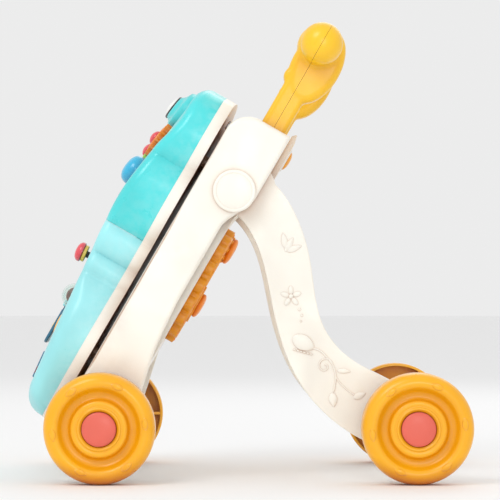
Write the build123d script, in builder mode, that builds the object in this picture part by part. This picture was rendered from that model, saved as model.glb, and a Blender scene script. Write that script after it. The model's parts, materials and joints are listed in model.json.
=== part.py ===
from build123d import *
from math import asin, atan2, cos, degrees, hypot, pi, radians, sin, tan
import os

# Baby walker with a folding rear leg frame and a lift-off play panel. Millimetres.
# X points to the rear, Y across the walker, Z up, with the floor at Z = 0.
# The frame leans back, so most pieces are drawn in a leaning pair of axes that starts at
# the front wheel hub: n runs rearwards through the frame, s runs up along it.

# ---- overall sizes ----
wheelbase = 321.1            # front hub to rear hub
front_hub_x = -151.3         # front hub from the middle of the walker's footprint
half_width = 190.0           # outermost point of a hub cap or a grip end
lean = 30.0                  # frame from the vertical, degrees
fit_gap = 0.3                # between pieces that are only assembled
running_gap = 0.05           # radial, a pin or axle in its bore
screw_r = 1.5
screw_head_r = 3.4
screw_head_t = 2.0

# ---- wheels ----
wheel_r = 56.5
wheel_w = 34.0
wheel_wall = 3.0
wheel_hub_r = 12.0
wheel_rib_count = 6
axle_r = 4.0
axle_nut_r = 8.0
axle_nut_t = 2.5
cap_r = 17.5
cap_dome = 4.0
cap_plug = 3.5
cap_proud = 2.0              # cap dome beyond the wheel's face
wheel_gap = 1.5              # wheel to the boss that it runs against

# ---- frame, across the walker ----
cheek_outer = 146.0
cheek_t = 12.0
slot_w = 28.0                # between a cheek and the core, for the leg and the handle arm
core_wall = 3.0

# ---- frame, in the leaning axes ----
frame_front = -41.3
frame_top = 352.8
frame_shoulder_r = 26.0
rear_upper = 20.3            # rear edge of the frame beside the handle
rear_lower = 3.8             # rear edge of the frame at its waist
cheek_bend = (282.5, 236.0)  # the cheek's rear edge steps in between these heights
core_bend = (303.7, 246.0)   # the core's rear edge steps in between these heights
foot_r = 32.0                # rounded foot round the front axle
cover_t = 6.5
cover_lip = 7.0
front_plate_t = 4.0
web_t = 6.0
web_overlap = 13.0
frame_screw_heights = (80.0, 200.0, 335.0)

# ---- rear legs ----
pivot_n = -2.6
pivot_s = 276.5
pivot_pin_r = 6.0
pivot_head_r = 10.0
pivot_head_t = 2.0
pivot_cap_r = 22.0
pivot_cap_t = 4.0
leg_t = 24.0
leg_gap = 1.0                # leg to cheek
leg_wall = 3.0
leg_hub_r = 28.0
leg_boss_r = 14.0
crossbar_r = 8.0
crossbar_u = 220.0
crossbar_v = -43.0
crossbar_spigot = 8.0

# ---- handle ----
arm_gap = 0.2
arm_t = 24.0
arm_bottom = 318.0
arm_front = -14.0
arm_rear = 13.5
bar_s = 449.0
grip_r = 15.5
collar_r = 23.5
neck_r = 17.5
ball_r = 21.5
handle_wall = 3.0

# ---- play plate on the back ----
plate_r = 68.7
plate_scallops = 18
plate_scallop_r = 9.0
plate_t = 8.7
plate_s = 175.3
spinners = (("upper_spinner", 223.0, 15.5, 15.5), ("lower_spinner", 156.0, 14.5, 21.5))
spinner_t = 3.0
spinner_dome = 6.2
spinner_gap = 0.3
release_s = 337.5
release_r = 10.5
release_flange = 1.5
release_dome = 2.6
release_travel = 2.0

# ---- play panel ----
panel_gap = 5.6              # frame to the panel's base
base_t = 11.7
base_wall = 3.0
shell_wall = 2.6
panel_split = 185.9          # seam between the upper and the lower shell
shell_seam = 0.3
panel_front_low = (-86.1, 6.8)
panel_front_ridge = (-106.5, 205.4)
panel_front_split = (-103.4, 186.0)
panel_front_high = (-86.1, 348.9)
panel_toe = -23.2            # bottom of the panel
panel_crown = 362.0          # top of the panel at its middle
corner_r = 20.0
# half-widths and heights of the cusps of the panel's outline, with the bulge of each lobe
outline_cusps = ((118.0, 352.0), (134.0, 270.5), (121.0, 185.9), (117.0, 152.5), (120.0, 130.0),
                 (116.0, panel_toe))
outline_bulges = (16.0, 13.0, 5.0, 3.0, 22.0)
lug_r = 6.0
lug_len = 10.0
lug_clearance = 0.5
lug_half_span = 80.0
lug_heights = (60.0, 290.0)

# ---- toys on the panel ----
gear_module = 3.0
gear_t = 8.0
gear_float = 0.5             # gear above the panel
gear_bore_r = 4.0
gear_knob_r = 8.0
gear_knob_h = 7.0
lime_teeth = 14
side_teeth = 12
gear_s = 272.0
gear_rise = 14.0             # outer gears' centres above the middle gear's
button_travel = 3.0
button_flange = 2.5
button_gap = 0.5
hump_r = 28.0
hump_h = 17.0
hump_s = 324.5
lamp_r = 11.0
lamp_h = 4.0
speaker_s = 225.0
speaker_r = 18.0
speaker_t = 12.0
key_count = 5
key_w = 25.0
key_len = 30.0
key_pitch = 28.0
key_s = 20.0
key_h = 4.0
flap_w = 62.0
flap_t = 3.0
flap_u = -66.0
flap_top = 83.0
flap_bottom = 37.0
flap_n = -100.0
flap_pin_r = 1.5
flap_barrel_r = 3.2
drum_u = 52.0
drum_s = 100.0
drum_r = 9.5
drum_w = 34.0
drum_pin_r = 2.0
window_r = 14.0
window_wall = 1.8
window_sink = 2.5            # centre of the window's arch below the face
lever_u = 72.0
lever_s = 145.0
lever_depth = 12.0           # lever's pivot below the face
lever_stem_r = 3.5
lever_pin_r = 2.0
lever_swing = 15.0
switch_u = 86.0
switch_s = 15.0
switch_w = 12.0
switch_travel = 5.0
battery_r = 7.2
battery_len = 50.0
battery_s = (96.0, 112.0, 128.0)
board_n = -66.0
board_t = 1.6

# ---- values that follow from those above ----
lean_sin, lean_cos = sin(radians(lean)), cos(radians(lean))
n_dir = Vector(lean_cos, 0, -lean_sin)
s_dir = Vector(lean_sin, 0, lean_cos)
cheek_inner = cheek_outer - cheek_t
core_half = cheek_inner - slot_w
leg_outer = cheek_inner - leg_gap
leg_inner = leg_outer - leg_t
arm_outer = cheek_inner - arm_gap
arm_inner = arm_outer - arm_t
wheel_outer = half_width - cap_proud
wheel_inner = wheel_outer - wheel_w
boss_end = wheel_inner - wheel_gap
base_rear = frame_front - panel_gap
base_front = base_rear - base_t
ball_y = half_width - ball_r


def at(n, s, y=0.0):
    """The point at n, s in the leaning axes and y across the walker."""
    return Vector(front_hub_x, y, wheel_r) + n_dir * n + s_dir * s


def side(y=0.0):
    """A plane across Y whose local x is n and whose local y is s."""
    return Plane(origin=at(0, 0, y), x_dir=n_dir, z_dir=(0, -1, 0))


def facing_front(n, s=0.0, y=0.0):
    """A plane square to n that faces forwards. Local x is -Y and local y is s."""
    return Plane(origin=at(n, s, y), x_dir=(0, -1, 0), z_dir=n_dir * -1)


def facing_rear(n, s=0.0, y=0.0):
    """A plane square to n that faces the rear. Local x is +Y and local y is s."""
    return Plane(origin=at(n, s, y), x_dir=(0, 1, 0), z_dir=n_dir)


def across(n, s, y):
    """A plane square to Y at n, s, which faces outwards on its own side of the walker."""
    return Plane(origin=at(n, s, y), x_dir=n_dir, z_dir=(0, 1 if y > 0 else -1, 0))


def panel_face(low, high):
    """A function that gives planes on the panel's flat face between two n, s corners."""
    length = hypot(high[0] - low[0], high[1] - low[1])
    up = n_dir * ((high[0] - low[0]) / length) + s_dir * ((high[1] - low[1]) / length)
    out = up.cross(Vector(0, 1, 0))

    def plane(u, s, h=0.0):
        share = (s - low[1]) / (high[1] - low[1])
        spot = at(low[0] + share * (high[0] - low[0]), s, -u)
        return Plane(origin=spot + out * h, x_dir=(0, -1, 0), z_dir=out)

    return plane


upper_face = panel_face(panel_front_ridge, panel_front_high)
lower_face = panel_face(panel_front_low, panel_front_split)

# the rear legs are drawn along u, from their pivot to the rear hub, with v to the rear
pivot_point = at(pivot_n, pivot_s)
rear_hub_x = front_hub_x + wheelbase
leg_length = hypot(rear_hub_x - pivot_point.X, wheel_r - pivot_point.Z)
u_dir = Vector(rear_hub_x - pivot_point.X, 0, wheel_r - pivot_point.Z) / leg_length


def leg_side(y):
    """A plane across Y on a rear leg: local x is u and local y is v."""
    origin = Vector(pivot_point.X, y, pivot_point.Z)
    return Plane(origin=origin, x_dir=u_dir, z_dir=(0, -1, 0))


def disc(plane, r, length, mode=Mode.ADD):
    """Add or cut a cylinder that stands on a plane."""
    with BuildSketch(plane) as circle:
        Circle(r)
    extrude(circle.sketch, amount=length, mode=mode)


def dome(plane, r, rise, mode=Mode.ADD):
    """Add or cut a shallow dome that stands on a plane."""
    ball = (r * r + rise * rise) / (2 * rise)
    half = asin(r / ball) / 2
    middle = (ball * sin(half), rise - ball + ball * cos(half))
    section = Plane(origin=plane.origin, x_dir=plane.x_dir, z_dir=plane.y_dir * -1)
    with BuildSketch(section) as half_dome:
        with BuildLine():
            Polyline((0, rise), (0, 0), (r, 0))
            ThreePointArc((r, 0), middle, (0, rise))
        make_face()
    revolve(half_dome.sketch, axis=Axis(plane.origin, plane.z_dir), mode=mode)


def turned(plane, *points):
    """Add the solid that a closed outline of radii and heights makes when it is turned."""
    section = Plane(origin=plane.origin, x_dir=plane.x_dir, z_dir=plane.y_dir * -1)
    with BuildSketch(section) as half_section:
        with BuildLine():
            Polyline(*points, close=True)
        make_face()
    revolve(half_section.sketch, axis=Axis(plane.origin, plane.z_dir))


def pushed_button(plane_at, r, rise, travel, wall, stem_len):
    """Add a domed button with a flange under the wall; plane_at(h) gives planes by height."""
    neck = travel + 0.4
    under = wall + fit_gap
    disc(plane_at(-under), r, under + neck)
    dome(plane_at(neck), r, rise - neck)
    disc(plane_at(-under - button_flange), r + button_flange, button_flange)
    disc(plane_at(-under - button_flange), 3, -stem_len)


def screws(spots, length):
    """Add one pan-head screw at each plane, which lies under the head and faces outwards."""
    for spot in spots:
        disc(spot, screw_head_r, screw_head_t)
        disc(spot, screw_r, -length)


def screw_holes(spots, length, clearance=0.0):
    """Cut the holes that the shanks of the same screws need."""
    for spot in spots:
        disc(spot, screw_r + clearance, -length, Mode.SUBTRACT)


def save(part, name):
    """Label a finished piece and write it."""
    part.label = name
    export_step(part, f"parts/{name}.step")


os.makedirs("parts", exist_ok=True)
sides = (("left", -1), ("right", 1))


# ---- frame ----
def rear_edge(bend, top):
    """The stepped rear edge of the frame, drawn downwards from its top."""
    high, low = bend
    Line((rear_upper, top), (rear_upper, high))
    Spline((rear_upper, high), (rear_lower, low), tangents=((0, -1), (0, -1)))


def shoulder(front, top):
    """Add the frame's rounded shoulder and its flat top, as far as the rear edge."""
    reach = top - frame_top + frame_shoulder_r
    middle = reach * (1 - cos(pi / 4))
    ThreePointArc((front, top - reach), (front + middle, top - middle), (front + reach, top))
    Line((front + reach, top), (rear_upper, top))


def cheek_outline():
    """Outline of a side cheek, from its shoulder round to its foot."""
    heel = 40.0
    toe = 160.0
    heel_at = (foot_r * cos(radians(heel)), foot_r * sin(radians(heel)))
    toe_at = (foot_r * cos(radians(toe + 30)), foot_r * sin(radians(toe + 30)))
    flare_s = 150.0
    heel_run = (sin(radians(heel)), -cos(radians(heel)))
    with BuildSketch() as outline:
        with BuildLine():
            Line((frame_front, 30), (frame_front, frame_top - frame_shoulder_r))
            shoulder(frame_front, frame_top)
            rear_edge(cheek_bend, frame_top)
            Line((rear_lower, cheek_bend[1]), (rear_lower, flare_s))
            Spline((rear_lower, flare_s), heel_at, tangents=((0, -1), heel_run))
            ThreePointArc(heel_at, (0, -foot_r), toe_at)
            Line(toe_at, (frame_front, 30))
        make_face()
    return outline.sketch


def frame_screw_spots(y_sign, n):
    """Planes of the screws that join a cheek's web to the core's front plate."""
    y = y_sign * (core_half + web_overlap / 2 + fit_gap)
    return [facing_front(n, s, y) for s in frame_screw_heights]


arm_screw_s = 331.0
arm_mid = (arm_inner + arm_outer) / 2


def arm_screw_spot(y_sign):
    """Plane of the screw that holds a handle arm to its cheek's web."""
    return facing_front(frame_front, arm_screw_s, y_sign * arm_mid)


for name, sign in sides:
    with BuildPart() as side_frame:
        with BuildSketch(side(sign * (cheek_outer + cheek_inner) / 2)):
            add(cheek_outline())
        extrude(amount=cheek_t / 2, both=True)
        # web behind the core's front plate, with a full-depth strip beside the plate
        strip_inner = core_half + web_overlap + fit_gap
        web_inner = core_half + fit_gap
        web_reach = frame_shoulder_r / 2
        web_height = frame_top - frame_shoulder_r - 40
        web_mid = (frame_top - frame_shoulder_r + 40) / 2
        web_front = frame_front + front_plate_t
        with BuildSketch(facing_rear(frame_front, web_mid, sign * (strip_inner + cheek_inner) / 2)):
            Rectangle(cheek_inner - strip_inner, web_height)
        extrude(amount=front_plate_t + web_t)
        with BuildSketch(facing_rear(web_front + fit_gap, web_mid, sign * (web_inner + cheek_inner) / 2)):
            Rectangle(cheek_inner - web_inner, web_height + 2 * web_reach)
        extrude(amount=web_t - fit_gap)
        # post that the handle arm is screwed against
        post_n = web_front + web_t
        disc(facing_rear(post_n, arm_screw_s, sign * arm_mid), 6, arm_front - post_n)
        # boss that the front wheel runs against
        disc(across(0, 0, sign * cheek_outer), leg_boss_r, boss_end - cheek_outer)
        disc(across(0, 0, sign * cheek_inner), axle_r + running_gap, boss_end, Mode.SUBTRACT)
        disc(across(pivot_n, pivot_s, sign * cheek_inner), pivot_pin_r, cheek_t, Mode.SUBTRACT)
        screw_holes(frame_screw_spots(sign, web_front + fit_gap), web_t + 1)
        spot = arm_screw_spot(sign)
        disc(spot, screw_head_r + fit_gap, -screw_head_t - 1, Mode.SUBTRACT)
        screw_holes([spot], 40)
    save(side_frame.part, f"{name}_side_frame")


core_foot = -0.6 * foot_r


def core_outline(front, top, foot):
    """Outline of the core between the cheeks, seen from the side."""
    with BuildSketch() as outline:
        with BuildLine():
            shoulder(front, top)
            Polyline((front, frame_top - frame_shoulder_r), (front, foot), (rear_lower, foot),
                     (rear_lower, core_bend[1]))
            rear_edge(core_bend, top)
        make_face()
    return outline.sketch


lug_spots = [(y, s) for y in (-lug_half_span, lug_half_span) for s in lug_heights]
cover_screw_s = (30.0, 95.0, 322.0)
cover_foot = 14.0
cover_post_r = 6.0
cover_spots = [(y, s) for y in (-core_half + 14, core_half - 14) for s in cover_screw_s]


def cover_n(s):
    """The core's rear face at a cover screw."""
    return rear_lower if s < core_bend[1] else rear_upper


with BuildPart() as front_cover:
    with BuildSketch(side()):
        add(core_outline(frame_front, frame_top, core_foot))
    extrude(amount=core_half, both=True)
    with BuildSketch(side()):
        add(core_outline(frame_front + front_plate_t, frame_top - core_wall, core_foot + core_wall))
    extrude(amount=core_half - core_wall, both=True, mode=Mode.SUBTRACT)
    # the front plate reaches over the webs of both side frames
    plate_height = frame_top - frame_shoulder_r - 40
    with BuildSketch(facing_rear(frame_front, 40 + plate_height / 2)):
        Rectangle(2 * (core_half + web_overlap), plate_height)
    extrude(amount=front_plate_t)
    for y, s in cover_spots:
        disc(facing_rear(frame_front, s, y), cover_post_r, cover_n(s) - frame_front)
    for y, s in lug_spots:
        disc(facing_rear(frame_front, s, y), lug_r + lug_clearance, front_plate_t, Mode.SUBTRACT)
    for _, sign in sides:
        disc(across(0, 0, sign * (core_half - 20)), axle_r + running_gap, 30, Mode.SUBTRACT)
        disc(across(pivot_n, pivot_s, sign * (core_half - 20)), pivot_pin_r, 30, Mode.SUBTRACT)
        screw_holes(frame_screw_spots(sign, frame_front), 10)
    screw_holes([facing_rear(cover_n(s), s, y) for y, s in cover_spots], 14)
save(front_cover.part, "front_cover")

spinner_bore = 3.0
plate_screws = [(y, plate_s + s) for y in (-45.0, 45.0) for s in (-26.0, 26.0)]
cover_rear_lower = rear_lower + cover_t
plate_rear = cover_rear_lower + plate_t
with BuildPart() as rear_cover:
    top = frame_top + cover_lip
    with BuildSketch(side()):
        with BuildLine():
            Polyline((rear_lower, cover_foot), (rear_lower, core_bend[1]))
            Spline((rear_lower, core_bend[1]), (rear_upper, core_bend[0]), tangents=((0, 1), (0, 1)))
            Polyline((rear_upper, core_bend[0]), (rear_upper, top - 3), (rear_upper + 3, top),
                     (rear_upper + cover_t - 2, top), (rear_upper + cover_t, top - 9),
                     (rear_upper + cover_t, core_bend[0]))
            Spline((rear_upper + cover_t, core_bend[0]), (cover_rear_lower, core_bend[1]),
                   tangents=((0, -1), (0, -1)))
            Polyline((cover_rear_lower, core_bend[1]), (cover_rear_lower, cover_foot),
                     (rear_lower, cover_foot))
        make_face()
    extrude(amount=core_half, both=True)
    # recesses so that the screw heads sit flush, and the holes for every screw
    for y, s in cover_spots:
        spot = facing_rear(cover_n(s) + 3, s, y)
        disc(spot, screw_head_r + fit_gap, 20, Mode.SUBTRACT)
        disc(spot, screw_r, -20, Mode.SUBTRACT)
    screw_holes([facing_rear(cover_rear_lower, s, y) for y, s in plate_screws], 20)
    disc(facing_rear(rear_upper - 1, release_s), release_r + button_gap, cover_t + 2, Mode.SUBTRACT)
save(rear_cover.part, "rear_cover")


def release_plane(h):
    """Plane at a height above the back cover's face at the release button."""
    return facing_rear(rear_upper + cover_t + h, release_s)


with BuildPart() as release_button:
    proud = release_travel + 0.2
    disc(release_plane(-cover_t - button_flange), release_r, cover_t + button_flange + proud)
    dome(release_plane(proud), release_r, release_dome)
    disc(release_plane(-cover_t - fit_gap - button_flange), release_r + release_flange, button_flange)
save(release_button.part, "release_button")

scallop_step = 360 / plate_scallops
with BuildPart() as rear_play_plate:
    base = facing_rear(cover_rear_lower, plate_s)
    disc(base, plate_r - plate_scallop_r * 0.6, plate_t)
    with BuildSketch(base):
        with PolarLocations(plate_r - plate_scallop_r, plate_scallops, start_angle=90 + scallop_step / 2):
            Circle(plate_scallop_r)
    extrude(amount=plate_t)
    screw_spots = [facing_rear(plate_rear - screw_head_t, s, y) for y, s in plate_screws]
    for spot in screw_spots:
        disc(spot, screw_head_r + fit_gap, 10, Mode.SUBTRACT)
        disc(spot, screw_r, -20, Mode.SUBTRACT)
    for _, s, _, _ in spinners:
        disc(facing_rear(plate_rear, s), spinner_bore - running_gap, spinner_gap + spinner_t + 2)
save(rear_play_plate.part, "rear_play_plate")

for name, s, dome_r, disc_r in spinners:
    with BuildPart() as spinner:
        base = facing_rear(plate_rear + spinner_gap, s)
        disc(base, disc_r, spinner_t)
        dome(facing_rear(plate_rear + spinner_gap + spinner_t, s), dome_r, spinner_dome)
        disc(base, spinner_bore, spinner_t + 3, Mode.SUBTRACT)
    save(spinner.part, name)

with BuildPart() as frame_screws:
    for _, sign in sides:
        screws(frame_screw_spots(sign, frame_front), front_plate_t + web_t)
        screws([facing_front(frame_front + screw_head_t + 1, arm_screw_s, sign * arm_mid)], 33)
    screws([facing_rear(cover_n(s) + 3, s, y) for y, s in cover_spots], 12)
    screws([facing_rear(plate_rear - screw_head_t, s, y) for y, s in plate_screws], plate_t + 2)
save(frame_screws.part, "frame_screws")

# ---- axles and pivots ----
axle_end = wheel_outer - cap_plug - 5
with BuildPart() as front_axle:
    with BuildSketch(side()):
        Circle(axle_r)
    extrude(amount=axle_end, both=True)
save(front_axle.part, "front_axle")


def axle_nuts(plane_y):
    """Add the push-on nuts at both ends of an axle."""
    for _, sign in sides:
        spot = plane_y(sign)
        disc(spot, axle_nut_r, axle_nut_t)
        disc(spot, axle_r, axle_nut_t, Mode.SUBTRACT)


nut_y = axle_end - axle_nut_t - 0.5


def rear_hub(y):
    """Plane square to Y at the rear hub, facing outwards."""
    origin = Vector(rear_hub_x, y, wheel_r)
    return Plane(origin=origin, x_dir=(1, 0, 0), z_dir=(0, 1 if y > 0 else -1, 0))


with BuildPart() as front_axle_nuts:
    axle_nuts(lambda sign: across(0, 0, sign * nut_y))
save(front_axle_nuts.part, "front_axle_nuts")

with BuildPart() as rear_axle_pins:
    for _, sign in sides:
        disc(rear_hub(sign * leg_inner), axle_r, axle_end - leg_inner)
        disc(rear_hub(sign * (leg_inner - 2)), axle_nut_r, 2)
save(rear_axle_pins.part, "rear_axle_pins")

with BuildPart() as rear_axle_nuts:
    axle_nuts(lambda sign: rear_hub(sign * nut_y))
save(rear_axle_nuts.part, "rear_axle_nuts")

with BuildPart() as pivot_pins:
    for _, sign in sides:
        disc(across(pivot_n, pivot_s, sign * (core_half - 8)), pivot_pin_r, cheek_outer - core_half + 8)
        disc(across(pivot_n, pivot_s, sign * cheek_outer), pivot_head_r, pivot_head_t)
save(pivot_pins.part, "pivot_pins")

with BuildPart() as pivot_caps:
    for _, sign in sides:
        base = across(pivot_n, pivot_s, sign * cheek_outer)
        disc(base, pivot_cap_r, pivot_head_t)
        top = across(pivot_n, pivot_s, sign * (cheek_outer + pivot_head_t))
        dome(top, pivot_cap_r, pivot_cap_t - pivot_head_t)
        disc(base, pivot_head_r + fit_gap, pivot_head_t, Mode.SUBTRACT)
save(pivot_caps.part, "pivot_caps")

# ---- wheels ----
wheel_spots = {
    "front_left": lambda y: across(0, 0, -y),
    "front_right": lambda y: across(0, 0, y),
    "rear_left": lambda y: rear_hub(-y),
    "rear_right": lambda y: rear_hub(y),
}
wheel_face = (
    (wheel_r, 0), (wheel_r, wheel_w - 12), (wheel_r - 3, wheel_w - 5), (wheel_r - 8, wheel_w),
    (wheel_r - 12, wheel_w), (wheel_r - 17, wheel_w - 4), (wheel_r - 21, wheel_w - 8),
    (wheel_r - 27, wheel_w - 8),
    (wheel_r - 29, wheel_w - 2), (cap_r + fit_gap, wheel_w - 2), (cap_r + fit_gap, wheel_w - cap_plug - 2),
    (axle_nut_r + 2, wheel_w - cap_plug - 2), (axle_nut_r + 2, wheel_w - 12),
    (axle_r + running_gap, wheel_w - 12),
    (axle_r + running_gap, 0),
)
wheel_web = wheel_w - 16
for name, spot in wheel_spots.items():
    with BuildPart() as wheel:
        base = spot(wheel_inner)
        turned(base, *wheel_face)
        # open back with a hub tube and ribs
        with BuildSketch(base):
            Circle(wheel_r - wheel_wall)
            Circle(wheel_hub_r, mode=Mode.SUBTRACT)
            with PolarLocations(0, wheel_rib_count // 2, angular_range=180):
                Rectangle(2 * wheel_r, wheel_wall, mode=Mode.SUBTRACT)
        extrude(amount=wheel_web, mode=Mode.SUBTRACT)
    save(wheel.part, f"{name}_wheel")
    with BuildPart() as hub_cap:
        seat = spot(wheel_outer - cap_plug - 2)
        disc(seat, cap_r, cap_plug + 1)
        dome(spot(wheel_outer - 1), cap_r, cap_proud + 1)
        disc(seat, axle_nut_r, 1, Mode.SUBTRACT)
    save(hub_cap.part, f"{name}_hub_cap")


# ---- rear legs ----
def leg_outline(inset=0.0):
    """Outline of a rear leg: a round head at the pivot, a long swept shank and a round hub."""
    hub = leg_hub_r - inset
    toe = (leg_length + hub * cos(radians(40)), -hub * sin(radians(40)))
    heel = (leg_length - hub * cos(radians(60)), hub * sin(radians(60)))
    front = [(0, -17), (62, -16), (116, -40), (200, -66.5), (272, -55)]
    rear = [(254, 10.5), (198, -12), (168, -12), (106, 17.5), (50, 37), (20, 38)]
    front = [(u, v + inset) for u, v in front]
    rear = [(u, v - inset) for u, v in rear]
    with BuildSketch() as outline:
        with BuildLine():
            Spline(*front, toe)
            ThreePointArc(toe, (leg_length + hub, 0), heel)
            Spline(heel, *rear)
            ThreePointArc(rear[-1], (-23 + inset, 14), front[0])
        make_face()
    return outline.sketch


leg_mid = (leg_inner + leg_outer) / 2
leg_screw_uv = ((45.0, 8.0), (120.0, -12.0), (170.0, -36.0), (262.0, -22.0))
leg_post_r = 5.0


def leg_spot(y, u, v, sign):
    """Plane at u, v on a leg, square to Y and facing outwards for sign 1 on the right."""
    plane = leg_side(y)
    origin = plane.origin + plane.x_dir * u + plane.y_dir * v
    return Plane(origin=origin, x_dir=u_dir, z_dir=(0, sign, 0))


def leg_half(y_seam, thickness, sign):
    """Half a leg: a tub open at its seam with posts for the pivot, hub, crossbar and screws."""
    with BuildSketch(leg_side(y_seam)) as outer:
        add(leg_outline())
    with BuildSketch(leg_side(y_seam)) as inner:
        add(leg_outline(leg_wall))
    extrude(outer.sketch, amount=-sign * thickness)
    extrude(inner.sketch, amount=-sign * (thickness - leg_wall), mode=Mode.SUBTRACT)
    posts = [(0.0, 0.0, pivot_pin_r + 5), (leg_length, 0.0, leg_boss_r)]
    posts.append((crossbar_u, crossbar_v, crossbar_r + 3))
    posts += [(u, v, leg_post_r) for u, v in leg_screw_uv]
    for u, v, r in posts:
        disc(leg_spot(y_seam, u, v, sign), r, thickness)
    disc(leg_spot(y_seam, 0, 0, sign), pivot_pin_r + running_gap, thickness, Mode.SUBTRACT)
    disc(leg_spot(y_seam, leg_length, 0, sign), axle_r, thickness, Mode.SUBTRACT)


def leg_screw_spots(y, sign):
    """Planes of the screws that close a leg, facing inwards."""
    return [leg_spot(y, u, v, -sign) for u, v in leg_screw_uv]


for name, sign in sides:
    with BuildPart() as leg_outer_shell:
        leg_half(sign * leg_mid, leg_t / 2, sign)
        disc(rear_hub(sign * leg_outer), leg_boss_r, boss_end - leg_outer)
        disc(rear_hub(sign * leg_mid), axle_r, boss_end, Mode.SUBTRACT)
        screw_holes(leg_screw_spots(sign * leg_mid, sign), 8)
    save(leg_outer_shell.part, f"{name}_leg_outer_shell")
    with BuildPart() as leg_inner_shell:
        leg_half(sign * leg_mid, leg_t / 2, -sign)
        screw_holes(leg_screw_spots(sign * leg_inner, sign), 20)
        spigot = leg_spot(sign * leg_inner, crossbar_u, crossbar_v, sign)
        disc(spigot, crossbar_r, crossbar_spigot, Mode.SUBTRACT)
    save(leg_inner_shell.part, f"{name}_leg_inner_shell")

with BuildPart() as leg_screws:
    for _, sign in sides:
        screws(leg_screw_spots(sign * leg_inner, sign), leg_t / 2 + 8)
save(leg_screws.part, "leg_screws")

with BuildPart() as leg_crossbar:
    with BuildSketch(leg_side(0)):
        with Locations((crossbar_u, crossbar_v)):
            Circle(crossbar_r)
    extrude(amount=leg_inner + crossbar_spigot, both=True)
save(leg_crossbar.part, "leg_crossbar")


# ---- handle ----
arm_head = (6.0, 430.0, 25.5, 42.0)      # middle n and s, half-width and half-height
arm_heel = (-9.0, 409.0, 10.0)           # middle n and s, radius


def arm_outline(inset=0.0):
    """Outline of a handle arm: a straight bar that swells into a head behind the grip bar."""
    head_n, head_s, head_w, head_h = arm_head
    heel_n, heel_s, heel_r = arm_heel
    with BuildSketch() as outline:
        with Locations(((arm_front + arm_rear) / 2, (arm_bottom + head_s) / 2)):
            Rectangle(arm_rear - arm_front - 2 * inset, head_s - arm_bottom - 2 * inset)
        with Locations((head_n, head_s)):
            Ellipse(head_w - inset, head_h - inset)
        with Locations((heel_n, heel_s)):
            Circle(heel_r - inset)
    return outline.sketch


bar_profile = ((grip_r, 0), (grip_r, arm_inner - 12), (collar_r - 2, arm_inner), (collar_r, arm_mid),
               (collar_r - 2, arm_outer), (neck_r, arm_outer + 7))
bar_wall_r = grip_r - handle_wall


def bar_half(sign):
    """Add half of the grip bar: from the middle out to a ball beyond the arm."""
    neck_drop = (ball_r ** 2 - neck_r ** 2) ** 0.5
    section = Plane(origin=at(0, bar_s), x_dir=n_dir, z_dir=s_dir * -sign)
    with BuildSketch(section) as half_bar:
        with BuildLine():
            Polyline(*bar_profile, (neck_r, ball_y - neck_drop))
            ThreePointArc((neck_r, ball_y - neck_drop), (ball_r, ball_y), (0, half_width))
            Polyline((0, half_width), (0, 0), (grip_r, 0))
        make_face()
    revolve(half_bar.sketch, axis=Axis(at(0, bar_s), (0, 1, 0)))


with BuildPart() as handle:
    for _, sign in sides:
        bar_half(sign)
        with BuildSketch(side(sign * arm_mid)):
            add(arm_outline())
        extrude(amount=arm_t / 2, both=True)
    # the handle is hollow
    with BuildSketch(side()):
        with Locations((0, bar_s)):
            Circle(bar_wall_r)
    extrude(amount=ball_y, both=True, mode=Mode.SUBTRACT)
    for _, sign in sides:
        with BuildSketch(side(sign * arm_mid)):
            add(arm_outline(handle_wall))
        extrude(amount=arm_t / 2 - handle_wall, both=True, mode=Mode.SUBTRACT)
        disc(facing_front(arm_front, arm_screw_s, sign * arm_mid), 5, -(arm_rear - arm_front))
        screw_holes([facing_front(arm_front, arm_screw_s, sign * arm_mid)], 12)

seam = facing_front(0)
with BuildPart() as handle_front_shell:
    add(handle.part)
    split(bisect_by=seam, keep=Keep.TOP)
save(handle_front_shell.part, "handle_front_shell")
with BuildPart() as handle_rear_shell:
    add(handle.part)
    split(bisect_by=seam, keep=Keep.BOTTOM)
save(handle_rear_shell.part, "handle_rear_shell")


# ---- play panel ----
def bulged(start, end, bulge):
    """Add an arc from one point to another that bows out to the right of the way it runs."""
    along = Vector(end[0] - start[0], end[1] - start[1])
    middle = Vector((start[0] + end[0]) / 2, (start[1] + end[1]) / 2)
    out = Vector(along.Y, -along.X).normalized()
    peak = middle + out * bulge
    ThreePointArc(start, (peak.X, peak.Y), end)


def panel_outline(inset=0.0):
    """Outline of the panel from the front, with lobes that meet in cusps down each side."""
    right = [(y - inset, s) for y, s in outline_cusps]
    right[0] = (right[0][0], right[0][1] - inset)
    right[-1] = (right[-1][0], panel_toe + inset)
    left = [(-y, s) for y, s in right]
    with BuildSketch() as outline:
        with BuildLine():
            for low, high, bulge in zip(right[1:], right[:-1], outline_bulges):
                bulged(low, high, bulge)
            ThreePointArc(right[0], (0, panel_crown - inset), left[0])
            for high, low, bulge in zip(left[:-1], left[1:], outline_bulges):
                bulged(high, low, bulge)
            Line(left[-1], right[-1])
        make_face()
        ends = outline.vertices().group_by(Axis.Y)
        fillet(ends[0] + ends[-1], corner_r - inset)
    return outline.sketch


def panel_section(inset=0.0):
    """Side view of the panel's shells: a flat upper and a flat lower face that meet in a ridge."""
    low, ridge = panel_front_low, panel_front_ridge
    split_at, high = panel_front_split, panel_front_high
    top = panel_crown + 10
    rise = (high[0] - ridge[0]) / (high[1] - ridge[1])
    toe = panel_toe + inset
    with BuildSketch() as section:
        with BuildLine():
            Polyline((base_front, top), (high[0] + rise * (top - high[1]) + inset, top),
                     (ridge[0] + inset, ridge[1]), (split_at[0] + inset, split_at[1]), (low[0] + inset, low[1]))
            ThreePointArc((low[0] + inset, low[1]), (low[0] + inset + 9, toe + 9), (base_front, toe))
            Line((base_front, toe), (base_front, top))
        make_face()
    return section.sketch


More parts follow.
